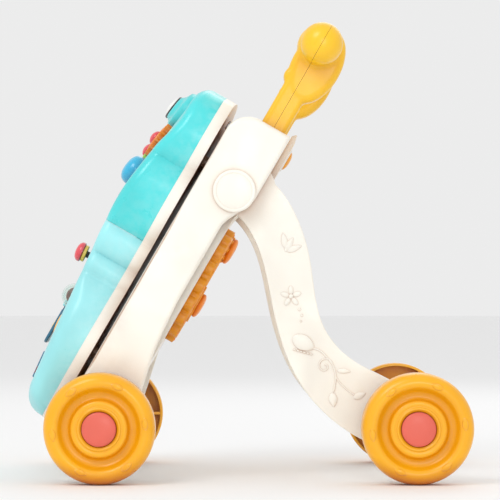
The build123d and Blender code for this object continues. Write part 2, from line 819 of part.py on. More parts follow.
def shell_blank(inset):
    """Solid that fills the panel's shells, drawn in by an inset."""
    with BuildPart() as blank:
        with BuildSketch(facing_front(base_front)):
            add(panel_outline(inset))
        extrude(amount=80)
        with BuildSketch(side()):
            add(panel_section(inset))
        extrude(amount=200, both=True, mode=Mode.INTERSECT)
    return blank.part


def shell_half(upper):
    """The upper or the lower shell, hollow and open to the base and at the seam."""
    low = panel_split + shell_seam / 2 if upper else panel_toe - 10
    high = panel_crown + 20 if upper else panel_split - shell_seam / 2
    with BuildPart() as half:
        add(shell_blank(0))
        add(shell_blank(shell_wall), mode=Mode.SUBTRACT)
        with BuildSketch(facing_front(base_front, (low + high) / 2)):
            Rectangle(400, high - low)
        extrude(amount=90, mode=Mode.INTERSECT)
    return half.part


def face_n(s):
    """The n of the panel's flat front faces at a height."""
    low, high = (panel_front_ridge, panel_front_high)
    if s < panel_split:
        low, high = panel_front_low, panel_front_split
    return low[0] + (s - low[1]) / (high[1] - low[1]) * (high[0] - low[0])


def stem_length(s):
    """Length of a button's stem, so that it stops just short of the circuit board."""
    reach = board_n - board_t - button_travel - 0.5
    return reach - face_n(s) - shell_wall - fit_gap - button_flange


def block(plane, size_x, size_y, low, high, mode=Mode.ADD):
    """Add or cut a box centred on a plane, between two heights over it."""
    with BuildSketch(plane.offset(low)) as rectangle:
        Rectangle(size_x, size_y)
    extrude(rectangle.sketch, amount=high - low, mode=mode)


def crosswise(face, u, s, h, offset_u=0.0):
    """A plane square to u on a panel face, at a height, facing towards +u."""
    spot = face(u + offset_u, s, h)
    return Plane(origin=spot.origin, x_dir=spot.y_dir, z_dir=(0, -1, 0))


post_spots = [(u, s) for s in (320.0, 225.0, 160.0, 20.0) for u in (-104.0, 104.0)]
post_r = 4.5
board_half = 78.0
board_low, board_high = -6.0, 205.0
board_posts = [(u, s) for s in (board_low + 8, board_high - 8) for u in (-board_half + 8, board_half - 8)]
base_inner = base_rear - base_wall
door_w, door_h = 64.0, 60.0
door_s = battery_s[1]
tray_half = battery_len / 2 + 1.5
tray_wall = 2.0

with BuildPart() as panel_base:
    with BuildSketch(facing_front(base_rear)):
        add(panel_outline())
    extrude(amount=base_t)
    with BuildSketch(facing_front(base_inner)):
        add(panel_outline(shell_wall))
    extrude(amount=base_t, mode=Mode.SUBTRACT)
    for y in (-lug_half_span, lug_half_span):
        for s in lug_heights:
            disc(facing_rear(base_rear, s, y), lug_r, lug_len)
    for u, s in post_spots:
        disc(facing_front(base_rear, s, -u), post_r, base_t)
        disc(facing_rear(base_rear - screw_head_t - 0.5, s, -u), screw_head_r + fit_gap, 10, Mode.SUBTRACT)
        disc(facing_rear(base_rear, s, -u), screw_r, -20, Mode.SUBTRACT)
    for u, s in board_posts:
        disc(facing_front(base_inner, s, -u), post_r, base_inner - board_n)
        disc(facing_front(base_inner - 2, s, -u), screw_r, 30, Mode.SUBTRACT)
    for edge in (-1, 1):
        tray_u = edge * (tray_half + tray_wall / 2)
        block(facing_front(base_inner, door_s, -tray_u), tray_wall, door_h - 6, 0, base_inner - board_n - 0.5)
    block(facing_front(base_rear, door_s), door_w, door_h, -1, base_wall + 1, Mode.SUBTRACT)
save(panel_base.part, "panel_base")

with BuildPart() as battery_door:
    block(facing_front(base_rear, door_s), door_w - 2 * fit_gap, door_h - 2 * fit_gap, 0, base_wall)
save(battery_door.part, "battery_door")

battery_n = base_inner - battery_r - fit_gap
with BuildPart() as batteries:
    for s in battery_s:
        with BuildSketch(side()) as cell:
            with Locations((battery_n, s)):
                Circle(battery_r)
        extrude(amount=battery_len / 2, both=True)
save(batteries.part, "batteries")

buttons = {
    "blue_button": (upper_face, 72.0, 245.0, 16.5, 15.0),
    "red_button": (upper_face, -72.0, 220.0, 10.5, 9.5),
    "yellow_button": (lower_face, 0.0, 64.0, 14.0, 7.5),
}
for name, (face, u, s, r, rise) in buttons.items():
    with BuildPart() as button:
        pushed_button(lambda h: face(u, s, h), r, rise, button_travel, shell_wall, stem_length(s))
    save(button.part, name)

# ---- gears ----
pitch_sum = gear_module * (lime_teeth + side_teeth) / 2
gear_across = (pitch_sum ** 2 - gear_rise ** 2) ** 0.5
mesh_angle = degrees(atan2(gear_rise, gear_across))
lime_step = 360 / lime_teeth
lime_first = 180 - mesh_angle
lime_lead = (lime_first - mesh_angle) % lime_step
half_tooth = 180 / side_teeth
gears = {
    "lime_gear": (0.0, gear_s, lime_teeth, lime_first),
    "green_gear": (-gear_across, gear_s + gear_rise, side_teeth, half_tooth - mesh_angle),
    "orange_gear": (gear_across, gear_s + gear_rise, side_teeth,
                    180 + mesh_angle - lime_lead * lime_teeth / side_teeth + half_tooth),
}
tooth_root, tooth_tip = 4.4, 2.0
tooth_add, tooth_ded = 2.2, 3.0
for name, (u, s, teeth, first) in gears.items():
    with BuildPart() as gear:
        pitch_r = gear_module * teeth / 2
        with BuildSketch(upper_face(u, s, gear_float)):
            Circle(pitch_r - tooth_ded)
            with PolarLocations(pitch_r - tooth_ded - 0.5, teeth, start_angle=first):
                tall = tooth_add + tooth_ded + 0.5
                Polygon((0, -tooth_root / 2), (tall, -tooth_tip / 2), (tall, tooth_tip / 2),
                        (0, tooth_root / 2), align=None)
            Circle(gear_bore_r + running_gap, mode=Mode.SUBTRACT)
        extrude(amount=gear_t)
    save(gear.part, name)

gear_cap_h = 6.0
with BuildPart() as gear_caps:
    for u, s, _, _ in gears.values():
        top = gear_float + gear_t + fit_gap
        disc(upper_face(u, s, top), gear_knob_r, 2)
        dome(upper_face(u, s, top + 2), gear_knob_r, gear_cap_h - 2)
save(gear_caps.part, "gear_caps")

# ---- shells ----
grille = [(0.0, 0.0)]
for ring_r, ring_count in ((7.0, 6), (13.5, 12)):
    for i in range(ring_count):
        turn = 2 * pi * i / ring_count
        grille.append((ring_r * cos(turn), ring_r * sin(turn)))


def button_hole(face, u, s, r):
    """Cut the hole that a round button slides in."""
    disc(face(u, s, -10), r + button_gap, 20, Mode.SUBTRACT)


def shell_posts(upper):
    """Add the screw posts inside a shell."""
    for u, s in post_spots:
        if (s > panel_split) == upper:
            disc(facing_front(base_front, s, -u), post_r, base_front - face_n(s) - 1.5)
            disc(facing_front(base_front, s, -u), screw_r, 12, Mode.SUBTRACT)


with BuildPart() as panel_upper_shell:
    add(shell_half(True))
    shell_posts(True)
    disc(upper_face(0, hump_s, -shell_wall), hump_r, shell_wall)
    dome(upper_face(0, hump_s), hump_r, hump_h)
    disc(upper_face(0, hump_s, hump_h - 1), lamp_r + fit_gap, 10, Mode.SUBTRACT)
    for u, s, _, _ in gears.values():
        disc(upper_face(u, s, -1), gear_bore_r, gear_float + gear_t + fit_gap + 1)
    for du, ds in grille:
        disc(upper_face(du, speaker_s + ds, -5), 1.8, 10, Mode.SUBTRACT)
    for face, u, s, r, _ in buttons.values():
        if face is upper_face:
            button_hole(face, u, s, r)
save(panel_upper_shell.part, "panel_upper_shell")

with BuildPart() as lamp_lens:
    disc(upper_face(0, hump_s, hump_h - 1), lamp_r, 1.5)
    dome(upper_face(0, hump_s, hump_h + 0.5), lamp_r, lamp_h)
save(lamp_lens.part, "lamp_lens")

with BuildPart() as speaker:
    disc(upper_face(0, speaker_s, -shell_wall - speaker_t), speaker_r, speaker_t)
save(speaker.part, "speaker")

keys = [(key_pitch * (i - (key_count - 1) / 2), i + 1) for i in range(key_count)]
ear_t, ear_half = 5.0, 23.0
pivot_face_gap = 8.0         # the flap's hinge line over the panel's face
ear_h = pivot_face_gap + 3.5
window_len = drum_w + 5.0
lever_slot = 2 * (lever_stem_r + lever_depth * tan(radians(lever_swing)) + 0.8)


def switch_plane(h):
    """Plane at a height over the face at the power switch."""
    return lower_face(switch_u, switch_s, h)


with BuildPart() as panel_lower_shell:
    add(shell_half(False))
    shell_posts(False)
    face, u, s, r, _ = buttons["yellow_button"]
    button_hole(face, u, s, r)
    for u, _ in keys:
        block(lower_face(u, key_s), key_w + 2 * button_gap, key_len + 2 * button_gap, -10, 10, Mode.SUBTRACT)
    block(lower_face(lever_u, lever_s), 2 * lever_stem_r + 1.2, lever_slot, -10, 10, Mode.SUBTRACT)
    window_seat = lower_face(drum_u, drum_s)
    block(window_seat, window_len + 2 * fit_gap, 2 * window_r + 2 * fit_gap, -10, 10, Mode.SUBTRACT)
    block(switch_plane(0), switch_w + 2 * switch_travel + 1, 8 + 1, -10, 10, Mode.SUBTRACT)
    for edge in (-1, 1):
        # ears for the flap's hinge pin
        block(lower_face(flap_u + edge * ear_half, flap_top + 3), ear_t, 7, -1, ear_h)
        disc(crosswise(lower_face, flap_u, flap_top + 3, pivot_face_gap, edge * ear_half - 5), flap_pin_r, 10,
             Mode.SUBTRACT)
        # ears for the lever's pin, under the face
        block(lower_face(lever_u + edge * 9, lever_s), 3, 10, -lever_depth - 5, -shell_wall)
        disc(crosswise(lower_face, lever_u, lever_s, -lever_depth, edge * 9 - 3), lever_pin_r + running_gap, 6,
             Mode.SUBTRACT)
save(panel_lower_shell.part, "panel_lower_shell")

for u, number in keys:
    with BuildPart() as key:
        block(lower_face(u, key_s), key_w, key_len, -shell_wall - 3, key_h)
        fillet(key.faces().sort_by(Axis((0, 0, 0), tuple(n_dir)))[0].edges(), 1.5)
        block(lower_face(u, key_s), key_w + 2.4, key_len + 3, -shell_wall - fit_gap - button_flange,
              -shell_wall - fit_gap)
        disc(lower_face(u, key_s, -shell_wall - fit_gap - button_flange), 3, -stem_length(key_s))
    save(key.part, f"piano_key_{number}")

with BuildPart() as power_switch:
    block(switch_plane(0), switch_w, 8, -shell_wall - 1, 2.5)
    block(switch_plane(0), switch_w + 3, 11, -shell_wall - fit_gap - 2, -shell_wall - fit_gap)
save(power_switch.part, "power_switch")

# ---- flap ----
flap_axis_n = face_n(flap_top + 3) - pivot_face_gap
with BuildPart() as flap_door:
    plate_top = flap_top - 5
    flap_mid = facing_front(flap_n, (plate_top + flap_bottom) / 2, -flap_u)
    block(flap_mid, flap_w, plate_top - flap_bottom, 0, flap_t)
    fillet(flap_door.edges().filter_by(Axis((0, 0, 0), n_dir)).group_by(Axis.Z)[0], 8)
    neck_w = 2 * (ear_half - ear_t / 2 - 1)
    neck_mid = facing_front(flap_n, (plate_top + flap_top + 3) / 2, -flap_u)
    block(neck_mid, neck_w, flap_top + 3 - plate_top, 0, flap_t)
    disc(crosswise(lower_face, flap_u, flap_top + 3, pivot_face_gap, -neck_w / 2), flap_barrel_r, neck_w)
    disc(crosswise(lower_face, flap_u, flap_top + 3, pivot_face_gap, -30), flap_pin_r + running_gap, 60,
         Mode.SUBTRACT)
save(flap_door.part, "flap_door")

with BuildPart() as flap_pin:
    pin_half = ear_half + ear_t / 2
    disc(crosswise(lower_face, flap_u, flap_top + 3, pivot_face_gap, -pin_half), flap_pin_r, 2 * pin_half)
save(flap_pin.part, "flap_pin")

# ---- tumbling drum and its window ----
with BuildPart() as drum_window:
    disc(crosswise(lower_face, drum_u, drum_s, -window_sink, -window_len / 2), window_r, window_len)
    hollow = window_len - 2 * window_wall
    disc(crosswise(lower_face, drum_u, drum_s, -window_sink, -hollow / 2), window_r - window_wall, hollow,
         Mode.SUBTRACT)
    block(lower_face(drum_u, drum_s), 60, 60, -30, -window_sink - 4, Mode.SUBTRACT)
    disc(crosswise(lower_face, drum_u, drum_s, -window_sink, -30), drum_pin_r + running_gap, 60, Mode.SUBTRACT)
save(drum_window.part, "drum_window")

with BuildPart() as tumbling_drum:
    disc(crosswise(lower_face, drum_u, drum_s, -window_sink, -drum_w / 2), drum_r, drum_w)
    disc(crosswise(lower_face, drum_u, drum_s, -window_sink, -window_len / 2), drum_pin_r, window_len)
save(tumbling_drum.part, "tumbling_drum")

# ---- lever ----
def lever_plane(h):
    """Plane at a height over the face at the lever."""
    return lower_face(lever_u, lever_s, h)


with BuildPart() as lever_stem:
    disc(lever_plane(-lever_depth), lever_stem_r, lever_depth + 9)
    disc(crosswise(lower_face, lever_u, lever_s, -lever_depth, -6), 4.5, 12)
    disc(crosswise(lower_face, lever_u, lever_s, -lever_depth, -10.5), lever_pin_r, 21)
save(lever_stem.part, "lever_stem")

with BuildPart() as lever_collar:
    disc(lever_plane(5), 9, 4)
    disc(lever_plane(5), lever_stem_r, 4, Mode.SUBTRACT)
save(lever_collar.part, "lever_collar")

with BuildPart() as lever_knob:
    disc(lever_plane(9), 10.5, 3)
    dome(lever_plane(12), 10.5, 5)
save(lever_knob.part, "lever_knob")

# ---- electronics and screws ----
with BuildPart() as circuit_board:
    board_mid = facing_front(board_n, (board_low + board_high) / 2)
    block(board_mid, 2 * board_half, board_high - board_low, 0, board_t)
    for u, s in board_posts:
        disc(facing_front(board_n - 5, s, -u), screw_r, -10, Mode.SUBTRACT)
save(circuit_board.part, "circuit_board")

with BuildPart() as panel_screws:
    screws([facing_rear(base_rear - screw_head_t - 0.5, s, -u) for u, s in post_spots], base_t + 8)
    screws([facing_front(board_n - board_t, s, -u) for u, s in board_posts], 10)
save(panel_screws.part, "panel_screws")
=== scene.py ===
"""Looks of a folding baby walker with a play panel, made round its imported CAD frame."""

from __future__ import annotations

import json
import logging
import math
from dataclasses import dataclass
from enum import Enum
from typing import Callable, Iterable, Sequence

import bmesh
import bpy
from mathutils import Matrix, Vector, geometry

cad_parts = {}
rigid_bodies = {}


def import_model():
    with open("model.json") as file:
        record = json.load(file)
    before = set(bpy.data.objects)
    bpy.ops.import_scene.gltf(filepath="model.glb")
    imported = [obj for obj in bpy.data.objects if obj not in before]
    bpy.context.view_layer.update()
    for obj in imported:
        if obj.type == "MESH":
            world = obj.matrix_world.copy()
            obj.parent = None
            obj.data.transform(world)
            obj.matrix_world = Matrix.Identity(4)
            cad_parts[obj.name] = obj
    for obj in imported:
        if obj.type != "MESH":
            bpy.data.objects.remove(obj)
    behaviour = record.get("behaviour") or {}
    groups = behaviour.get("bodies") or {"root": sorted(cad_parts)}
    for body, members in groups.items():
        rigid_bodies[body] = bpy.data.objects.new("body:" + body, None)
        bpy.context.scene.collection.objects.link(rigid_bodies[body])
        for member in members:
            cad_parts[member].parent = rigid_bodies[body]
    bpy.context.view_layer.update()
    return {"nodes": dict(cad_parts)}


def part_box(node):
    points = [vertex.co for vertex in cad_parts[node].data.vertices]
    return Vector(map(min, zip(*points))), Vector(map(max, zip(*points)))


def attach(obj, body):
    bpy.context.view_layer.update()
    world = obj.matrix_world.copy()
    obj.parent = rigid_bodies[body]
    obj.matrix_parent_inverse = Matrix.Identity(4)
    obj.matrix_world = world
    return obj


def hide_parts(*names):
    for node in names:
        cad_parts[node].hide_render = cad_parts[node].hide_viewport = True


for default in list(bpy.data.objects):
    bpy.data.objects.remove(default)
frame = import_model()

MM = 0.001
LEAN = math.radians(30)
log = logging.getLogger("baby_walker")

Point2 = tuple[float, float]
Loop = list[Point2]
Place = Callable[[float, float, float], Vector]


class Side(Enum):
    """The two sides of the walker, by the sign of Y."""

    LEFT = -1
    RIGHT = 1

    @property
    def word(self) -> str:
        """The side's name in lower case."""
        return self.name.lower()


@dataclass(frozen=True)
class LeaningAxes:
    """Axes that lean back with the frame: n runs rearwards and s up from the front hub."""

    hub: Vector
    n_dir: Vector = Vector((math.cos(LEAN), 0, -math.sin(LEAN)))
    s_dir: Vector = Vector((math.sin(LEAN), 0, math.cos(LEAN)))

    def at(self, n: float, s: float, y: float = 0.0) -> Vector:
        """A point in metres.

        Args:
            n: Distance rearwards in millimetres.
            s: Height along the frame in millimetres.
            y: Distance across the walker in millimetres.

        Returns:
            The point in the walker's own frame.
        """
        return self.hub + (self.n_dir * n + self.s_dir * s + Vector((0, y, 0))) * MM

    def front(self, n: float) -> Place:
        """Placing of u, s on a plane that faces forwards, with u along -Y."""
        return lambda u, s, h: self.at(n - h, s, -u)

    def rear(self, n: float) -> Place:
        """Placing of y, s on a plane that faces the rear."""
        return lambda y, s, h: self.at(n + h, s, y)

    def facing_front(self, n: float, s: float, y: float) -> Matrix:
        """A seat at a point that faces forwards."""
        return seat(self.at(n, s, y), -self.n_dir, Vector((0, -1, 0)))

    def facing_rear(self, n: float, s: float, y: float = 0.0) -> Matrix:
        """A seat at a point that faces the rear."""
        return seat(self.at(n, s, y), self.n_dir, Vector((0, 1, 0)))

    def flank(self, side: Side, y: float) -> Place:
        """Placing of n, s on a side plane whose heights grow outwards."""
        return lambda n, s, h: self.at(n, s, side.value * (y + h))


AXES = LeaningAxes(sum(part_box("front_axle"), Vector()) / 2)


@dataclass(frozen=True)
class TiltedFace:
    """A flat front face of the play panel, between a low and a high corner in n, s."""

    low: Point2
    high: Point2

    def frame(self, u: float, s: float, h: float = 0.0) -> Matrix:
        """Matrix of a seat on the face.

        Args:
            u: Distance along -Y in millimetres.
            s: Height along the frame in millimetres.
            h: Height over the face in millimetres.

        Returns:
            A matrix whose local z points out of the face, x along u and y up the face.
        """
        up = AXES.at(self.high[0], self.high[1]) - AXES.at(self.low[0], self.low[1])
        up.normalize()
        out = up.cross(Vector((0, 1, 0)))
        share = (s - self.low[1]) / (self.high[1] - self.low[1])
        spot = AXES.at(self.low[0] + share * (self.high[0] - self.low[0]), s, -u) + out * h * MM
        axes = Matrix((Vector((0, -1, 0)), up, out)).transposed()
        return Matrix.Translation(spot) @ axes.to_4x4()


UPPER_FACE = TiltedFace((-106.5, 205.4), (-86.1, 348.9))
LOWER_FACE = TiltedFace((-86.1, 6.8), (-103.4, 186.0))


def seat(origin: Vector, out: Vector, along: Vector) -> Matrix:
    """Matrix of a seat at a point, with z out and x along a given direction."""
    across = out.cross(along)
    return Matrix.Translation(origin) @ Matrix((along, across, out)).transposed().to_4x4()


def hub_seat(centre: Vector, side: Side, y: float) -> Matrix:
    """Seat on a wheel's or a pivot's axis, facing outwards at a distance across in mm."""
    origin = Vector((centre.x, side.value * y * MM, centre.z))
    return seat(origin, Vector((0, side.value, 0)), Vector((1, 0, 0)))


# ---- drawing helpers ----
def smoothstep(low: float, high: float, value: float) -> float:
    """A smooth rise from 0 at low to 1 at high."""
    share = min(max((value - low) / (high - low), 0.0), 1.0)
    return share * share * (3 - 2 * share)


def smooth_curve(points: Sequence[Point2], steps: int = 4, closed: bool = False) -> Loop:
    """A Catmull-Rom curve through points.

    Args:
        points: The points that it passes through.
        steps: Pieces between two points.
        closed: Whether it returns to its start.

    Returns:
        The points along the curve.
    """
    count = len(points)
    spans = count if closed else count - 1
    curve: Loop = []
    for i in range(spans):
        if closed:
            a, b, c, d = (points[(i + k) % count] for k in (-1, 0, 1, 2))
        else:
            a, b, c, d = (points[min(max(i + k, 0), count - 1)] for k in (-1, 0, 1, 2))
        for step in range(steps):
            t = step / steps
            curve.append(tuple(
                0.5 * (2 * b[j] + (c[j] - a[j]) * t + (2 * a[j] - 5 * b[j] + 4 * c[j] - d[j]) * t * t
                       + (3 * b[j] - a[j] - 3 * c[j] + d[j]) * t ** 3) for j in (0, 1)))
    if not closed:
        curve.append(tuple(points[-1]))
    return curve


def bulged(start: Point2, end: Point2, bulge: float, step: float = 3.0) -> Loop:
    """Points along an arc that bows out to the right of the way it runs.

    Args:
        start: First point, which is included.
        end: Last point, which is left out.
        bulge: Height of the arc over its chord.
        step: Rough distance between points.

    Returns:
        The points along the arc.
    """
    a, b = Vector(start), Vector(end)
    chord = b - a
    half = chord.length / 2
    out = Vector((chord.y, -chord.x)).normalized()
    radius = (half * half + bulge * bulge) / (2 * bulge)
    centre = (a + b) / 2 + out * (bulge - radius)
    turn = 2 * math.asin(min(half / radius, 1.0))
    count = max(int(radius * turn / step), 4)
    first = a - centre
    points = []
    for i in range(count):
        spin = Matrix.Rotation(turn * i / count, 2)
        points.append(tuple(centre + spin @ first))
    return points


def circle(u: float, s: float, r: float, count: int = 32) -> Loop:
    """Points round a circle."""
    return [(u + r * math.cos(2 * math.pi * i / count), s + r * math.sin(2 * math.pi * i / count))
            for i in range(count)]


def rounded_box(u: float, s: float, width: float, height: float, r: float, steps: int = 5) -> Loop:
    """Points round a rectangle with rounded corners, counter-clockwise."""
    points = []
    for cx, cy, first in ((1, 1, 0), (-1, 1, 90), (-1, -1, 180), (1, -1, 270)):
        for i in range(steps + 1):
            turn = math.radians(first + 90 * i / steps)
            points.append((u + cx * (width / 2 - r) + r * math.cos(turn),
                           s + cy * (height / 2 - r) + r * math.sin(turn)))
    return points


def dense(loop: Loop, step: float) -> Loop:
    """The same closed loop with long sides divided."""
    points = []
    for a, b in zip(loop, loop[1:] + loop[:1]):
        count = max(int(math.dist(a, b) / step), 1)
        points += [(a[0] + (b[0] - a[0]) * i / count, a[1] + (b[1] - a[1]) * i / count) for i in range(count)]
    return points


def rounded_corner(chain: Loop, corner: Point2, reach: float, steps: int = 8) -> Loop:
    """Replace a corner of a dense chain by a round of a given reach.

    Args:
        chain: Points in order, with the corner among them.
        corner: The corner's own point.
        reach: Distance from the corner at which the round starts and ends.
        steps: Pieces in the round.

    Returns:
        The chain with its corner rounded.
    """
    index = min(range(len(chain)), key=lambda i: math.dist(chain[i], corner))
    before = [p for p in chain[:index] if math.dist(p, corner) > reach]
    after = [p for p in chain[index + 1:] if math.dist(p, corner) > reach]
    a, b, c = Vector(before[-1]), Vector(corner), Vector(after[0])
    half = (a - b).angle(c - b) / 2
    weight = math.sin(half)
    arc = []
    for i in range(1, steps):
        t = i / steps
        w0, w1, w2 = (1 - t) ** 2, 2 * (1 - t) * t * weight, t * t
        arc.append(tuple((a * w0 + b * w1 + c * w2) / (w0 + w1 + w2)))
    return before + arc + after


def inset_chain(chain: Loop, distances: Sequence[float], closed: bool) -> Loop:
    """Move a counter-clockwise chain inwards by a distance at each of its points.

    Args:
        chain: The points.
        distances: How far each moves.
        closed: Whether the chain is a closed loop; the ends of an open one slide level.

    Returns:
        The moved points.
    """
    points = [Vector(p) for p in chain]
    count = len(points)
    moved = []
    for i, p in enumerate(points):
        before = p - points[i - 1] if closed or i else None
        after = points[(i + 1) % count] - p if closed or i < count - 1 else None
        if before is None or after is None:
            run = (after or before).normalized()
            inward = Vector((-run.y, run.x))
            moved.append((p.x + distances[i] / max(abs(inward.x), 0.5) * math.copysign(1, inward.x), p.y))
            continue
        n1 = Vector((-before.y, before.x)).normalized()
        n2 = Vector((-after.y, after.x)).normalized()
        middle = (n1 + n2).normalized()
        moved.append(tuple(p + middle * distances[i] / max(middle.dot(n1), 0.45)))
    return moved


def contains(loop: Loop, point: Point2) -> bool:
    """Whether a closed loop goes round a point."""
    x, y = point
    inside = False
    for (x1, y1), (x2, y2) in zip(loop, loop[1:] + loop[:1]):
        if (y1 > y) != (y2 > y) and x < (x2 - x1) * (y - y1) / (y2 - y1) + x1:
            inside = not inside
    return inside


# ---- mesh helpers ----
class Body:
    """A mesh under construction."""

    def __init__(self) -> None:
        """Start with an empty mesh."""
        self.bm = bmesh.new()

    def ring(self, points: Iterable[Vector]) -> list[bmesh.types.BMVert]:
        """Add a row of points."""
        return [self.bm.verts.new(p) for p in points]

    def band(self, lower: list, upper: list, closed: bool = True) -> None:
        """Add the faces between two rows of the same length."""
        count = len(lower)
        for i in range(count if closed else count - 1):
            j = (i + 1) % count
            self.bm.faces.new((lower[i], lower[j], upper[j], upper[i]))

    def loft(self, rings: Sequence[Sequence[Vector]], caps: bool = True, closed: bool = True) -> None:
        """Join rows of points into a skin, with flat ends if wanted."""
        rows = [self.ring(points) for points in rings]
        for lower, upper in zip(rows, rows[1:]):
            self.band(lower, upper, closed)
        if caps:
            self.bm.faces.new(reversed(rows[0]))
            self.bm.faces.new(rows[-1])

    def slab(self, outline: Loop, place: Place, low: float, high: float, r_low: float, r_high: float,
             steps: int = 5) -> None:
        """Add a closed slab with rounded rims.

        Args:
            outline: Counter-clockwise outline.
            place: Puts a point of the outline at a height.
            low: Height of its lower face.
            high: Height of its upper face.
            r_low: Rounding of the lower rim.
            r_high: Rounding of the upper rim.
            steps: Pieces in each rounding.
        """
        levels = []
        for i in range(steps + 1):
            turn = math.pi / 2 * i / steps
            levels.append((r_low * (1 - math.sin(turn)), low + r_low * (1 - math.cos(turn))))
        for i in range(steps + 1):
            turn = math.pi / 2 * i / steps
            levels.append((r_high * (1 - math.cos(turn)), high - r_high * (1 - math.sin(turn))))
        rings = []
        for inset, height in levels:
            loop = inset_chain(outline, [inset] * len(outline), True)
            rings.append([place(a, b, height) for a, b in loop])
        self.loft(rings)

    def turned(self, matrix: Matrix, profile: Sequence[Point2], segments: int = 48) -> None:
        """Add the skin that a profile of radii and heights in mm makes when it is turned."""
        rows = []
        for r, h in profile:
            if r < 1e-6:
                rows.append(self.ring([matrix @ Vector((0, 0, h * MM))]))
                continue
            turns = (2 * math.pi * i / segments for i in range(segments))
            rows.append(self.ring(matrix @ Vector((r * MM * math.cos(t), r * MM * math.sin(t), h * MM))
                                  for t in turns))
        for lower, upper in zip(rows, rows[1:]):
            if len(lower) == 1 and len(upper) == 1:
                continue
            if len(lower) == 1:
                for i in range(len(upper)):
                    self.bm.faces.new((lower[0], upper[(i + 1) % len(upper)], upper[i]))
            elif len(upper) == 1:
                for i in range(len(lower)):
                    self.bm.faces.new((lower[i], lower[(i + 1) % len(lower)], upper[0]))
            else:
                self.band(lower, upper)

    def tube(self, path: Sequence[Vector], r: float, sides: int = 8) -> None:
        """Add a round tube of radius r in mm along a path, with tapered ends."""
        rings = []
        side_way = Vector((0, 1, 0))
        for i, p in enumerate(path):
            along = (path[min(i + 1, len(path) - 1)] - path[max(i - 1, 0)]).normalized()
            across = along.cross(side_way).normalized()
            up = across.cross(along)
            taper = 0.35 if i in (0, len(path) - 1) else 1.0
            rings.append([p + (across * math.cos(2 * math.pi * k / sides) + up * math.sin(2 * math.pi * k / sides))
                          * r * taper * MM for k in range(sides)])
        self.loft(rings)

    def mound(self, outline: Loop, place: Place, rise: float, sink: float = 0.4, steps: int = 4) -> None:
        """Add a soft raised shape on a surface."""
        centre = Vector((sum(p[0] for p in outline), sum(p[1] for p in outline))) / len(outline)
        rings = []
        for i in range(steps + 1):
            turn = math.pi / 2 * i / steps
            share = math.cos(turn) * 0.98 + 0.02
            height = rise * math.sin(turn) ** 0.8
            rings.append([place(centre.x + (a - centre.x) * share, centre.y + (b - centre.y) * share, height)
                          for a, b in outline])
        rings.insert(0, [place(a, b, -sink) for a, b in outline])
        self.loft(rings)

    def field(self, boundary: Loop, holes: Sequence[Loop], place: Callable[[float, float], Vector],
              spacing: float, regions: Sequence[tuple[Loop, int]] = (), fine: tuple[Loop, float] | None = None,
              flip: bool = False) -> None:
        """Add a meshed surface inside a boundary, with holes and with areas of other materials.

        Args:
            boundary: Counter-clockwise boundary.
            holes: Loops that are left open.
            place: Puts a point of the plane on the surface.
            spacing: Distance between inner points.
            regions: Loops whose inside takes another material index.
            fine: A loop whose inside has points at a closer spacing.
            flip: Whether the faces turn the other way.
        """
        points: Loop = []
        edges: list[tuple[int, int]] = []
        for loop in (boundary, *holes, *(region[0] for region in regions)):
            first = len(points)
            points += loop
            edges += [(first + i, first + (i + 1) % len(loop)) for i in range(len(loop))]
        marks = list(points)
        points += self.grid(boundary, holes, marks, spacing, fine)
        verts, _, faces, *_ = geometry.delaunay_2d_cdt([Vector(p) for p in points], edges, [], 1, 1e-6)
        made = [self.bm.verts.new(place(v.x, v.y)) for v in verts]
        for face in faces:
            middle = sum((verts[i] for i in face), Vector((0, 0))) / len(face)
            spot = (middle.x, middle.y)
            if not contains(boundary, spot) or any(contains(hole, spot) for hole in holes):
                continue
            new = self.bm.faces.new([made[i] for i in (reversed(face) if flip else face)])
            new.material_index = next((index for loop, index in regions if contains(loop, spot)), 0)

    @staticmethod
    def grid(boundary: Loop, holes: Sequence[Loop], marks: Loop, spacing: float,
             fine: tuple[Loop, float] | None) -> Loop:
        """Inner points for a field, clear of its boundary, its holes and its marks."""
        cell = spacing
        buckets: dict[tuple[int, int], Loop] = {}
        for p in marks:
            buckets.setdefault((int(p[0] // cell), int(p[1] // cell)), []).append(p)

        def clear(p: Point2, gap: float) -> bool:
            """Whether no mark lies within a gap of a point."""
            i, j = int(p[0] // cell), int(p[1] // cell)
            return all(math.dist(p, q) > gap for a in (-1, 0, 1) for b in (-1, 0, 1)
                       for q in buckets.get((i + a, j + b), ()))

        found = []
        passes = [(boundary, spacing, fine[0] if fine else None)]
        if fine:
            passes.append((fine[0], fine[1], None))
        for area, step, skip in passes:
            xs, ys = [p[0] for p in area], [p[1] for p in area]
            for row in range(int((max(ys) - min(ys)) / step) + 1):
                for column in range(int((max(xs) - min(xs)) / step) + 1):
                    p = (min(xs) + (column + 0.5 * (row % 2)) * step, min(ys) + row * step)
                    if skip and contains(skip, p):
                        continue
                    if not contains(area, p) or not contains(boundary, p) or not clear(p, 0.55 * step):
                        continue
                    if not any(contains(hole, p) for hole in holes):
                        found.append(p)
        return found

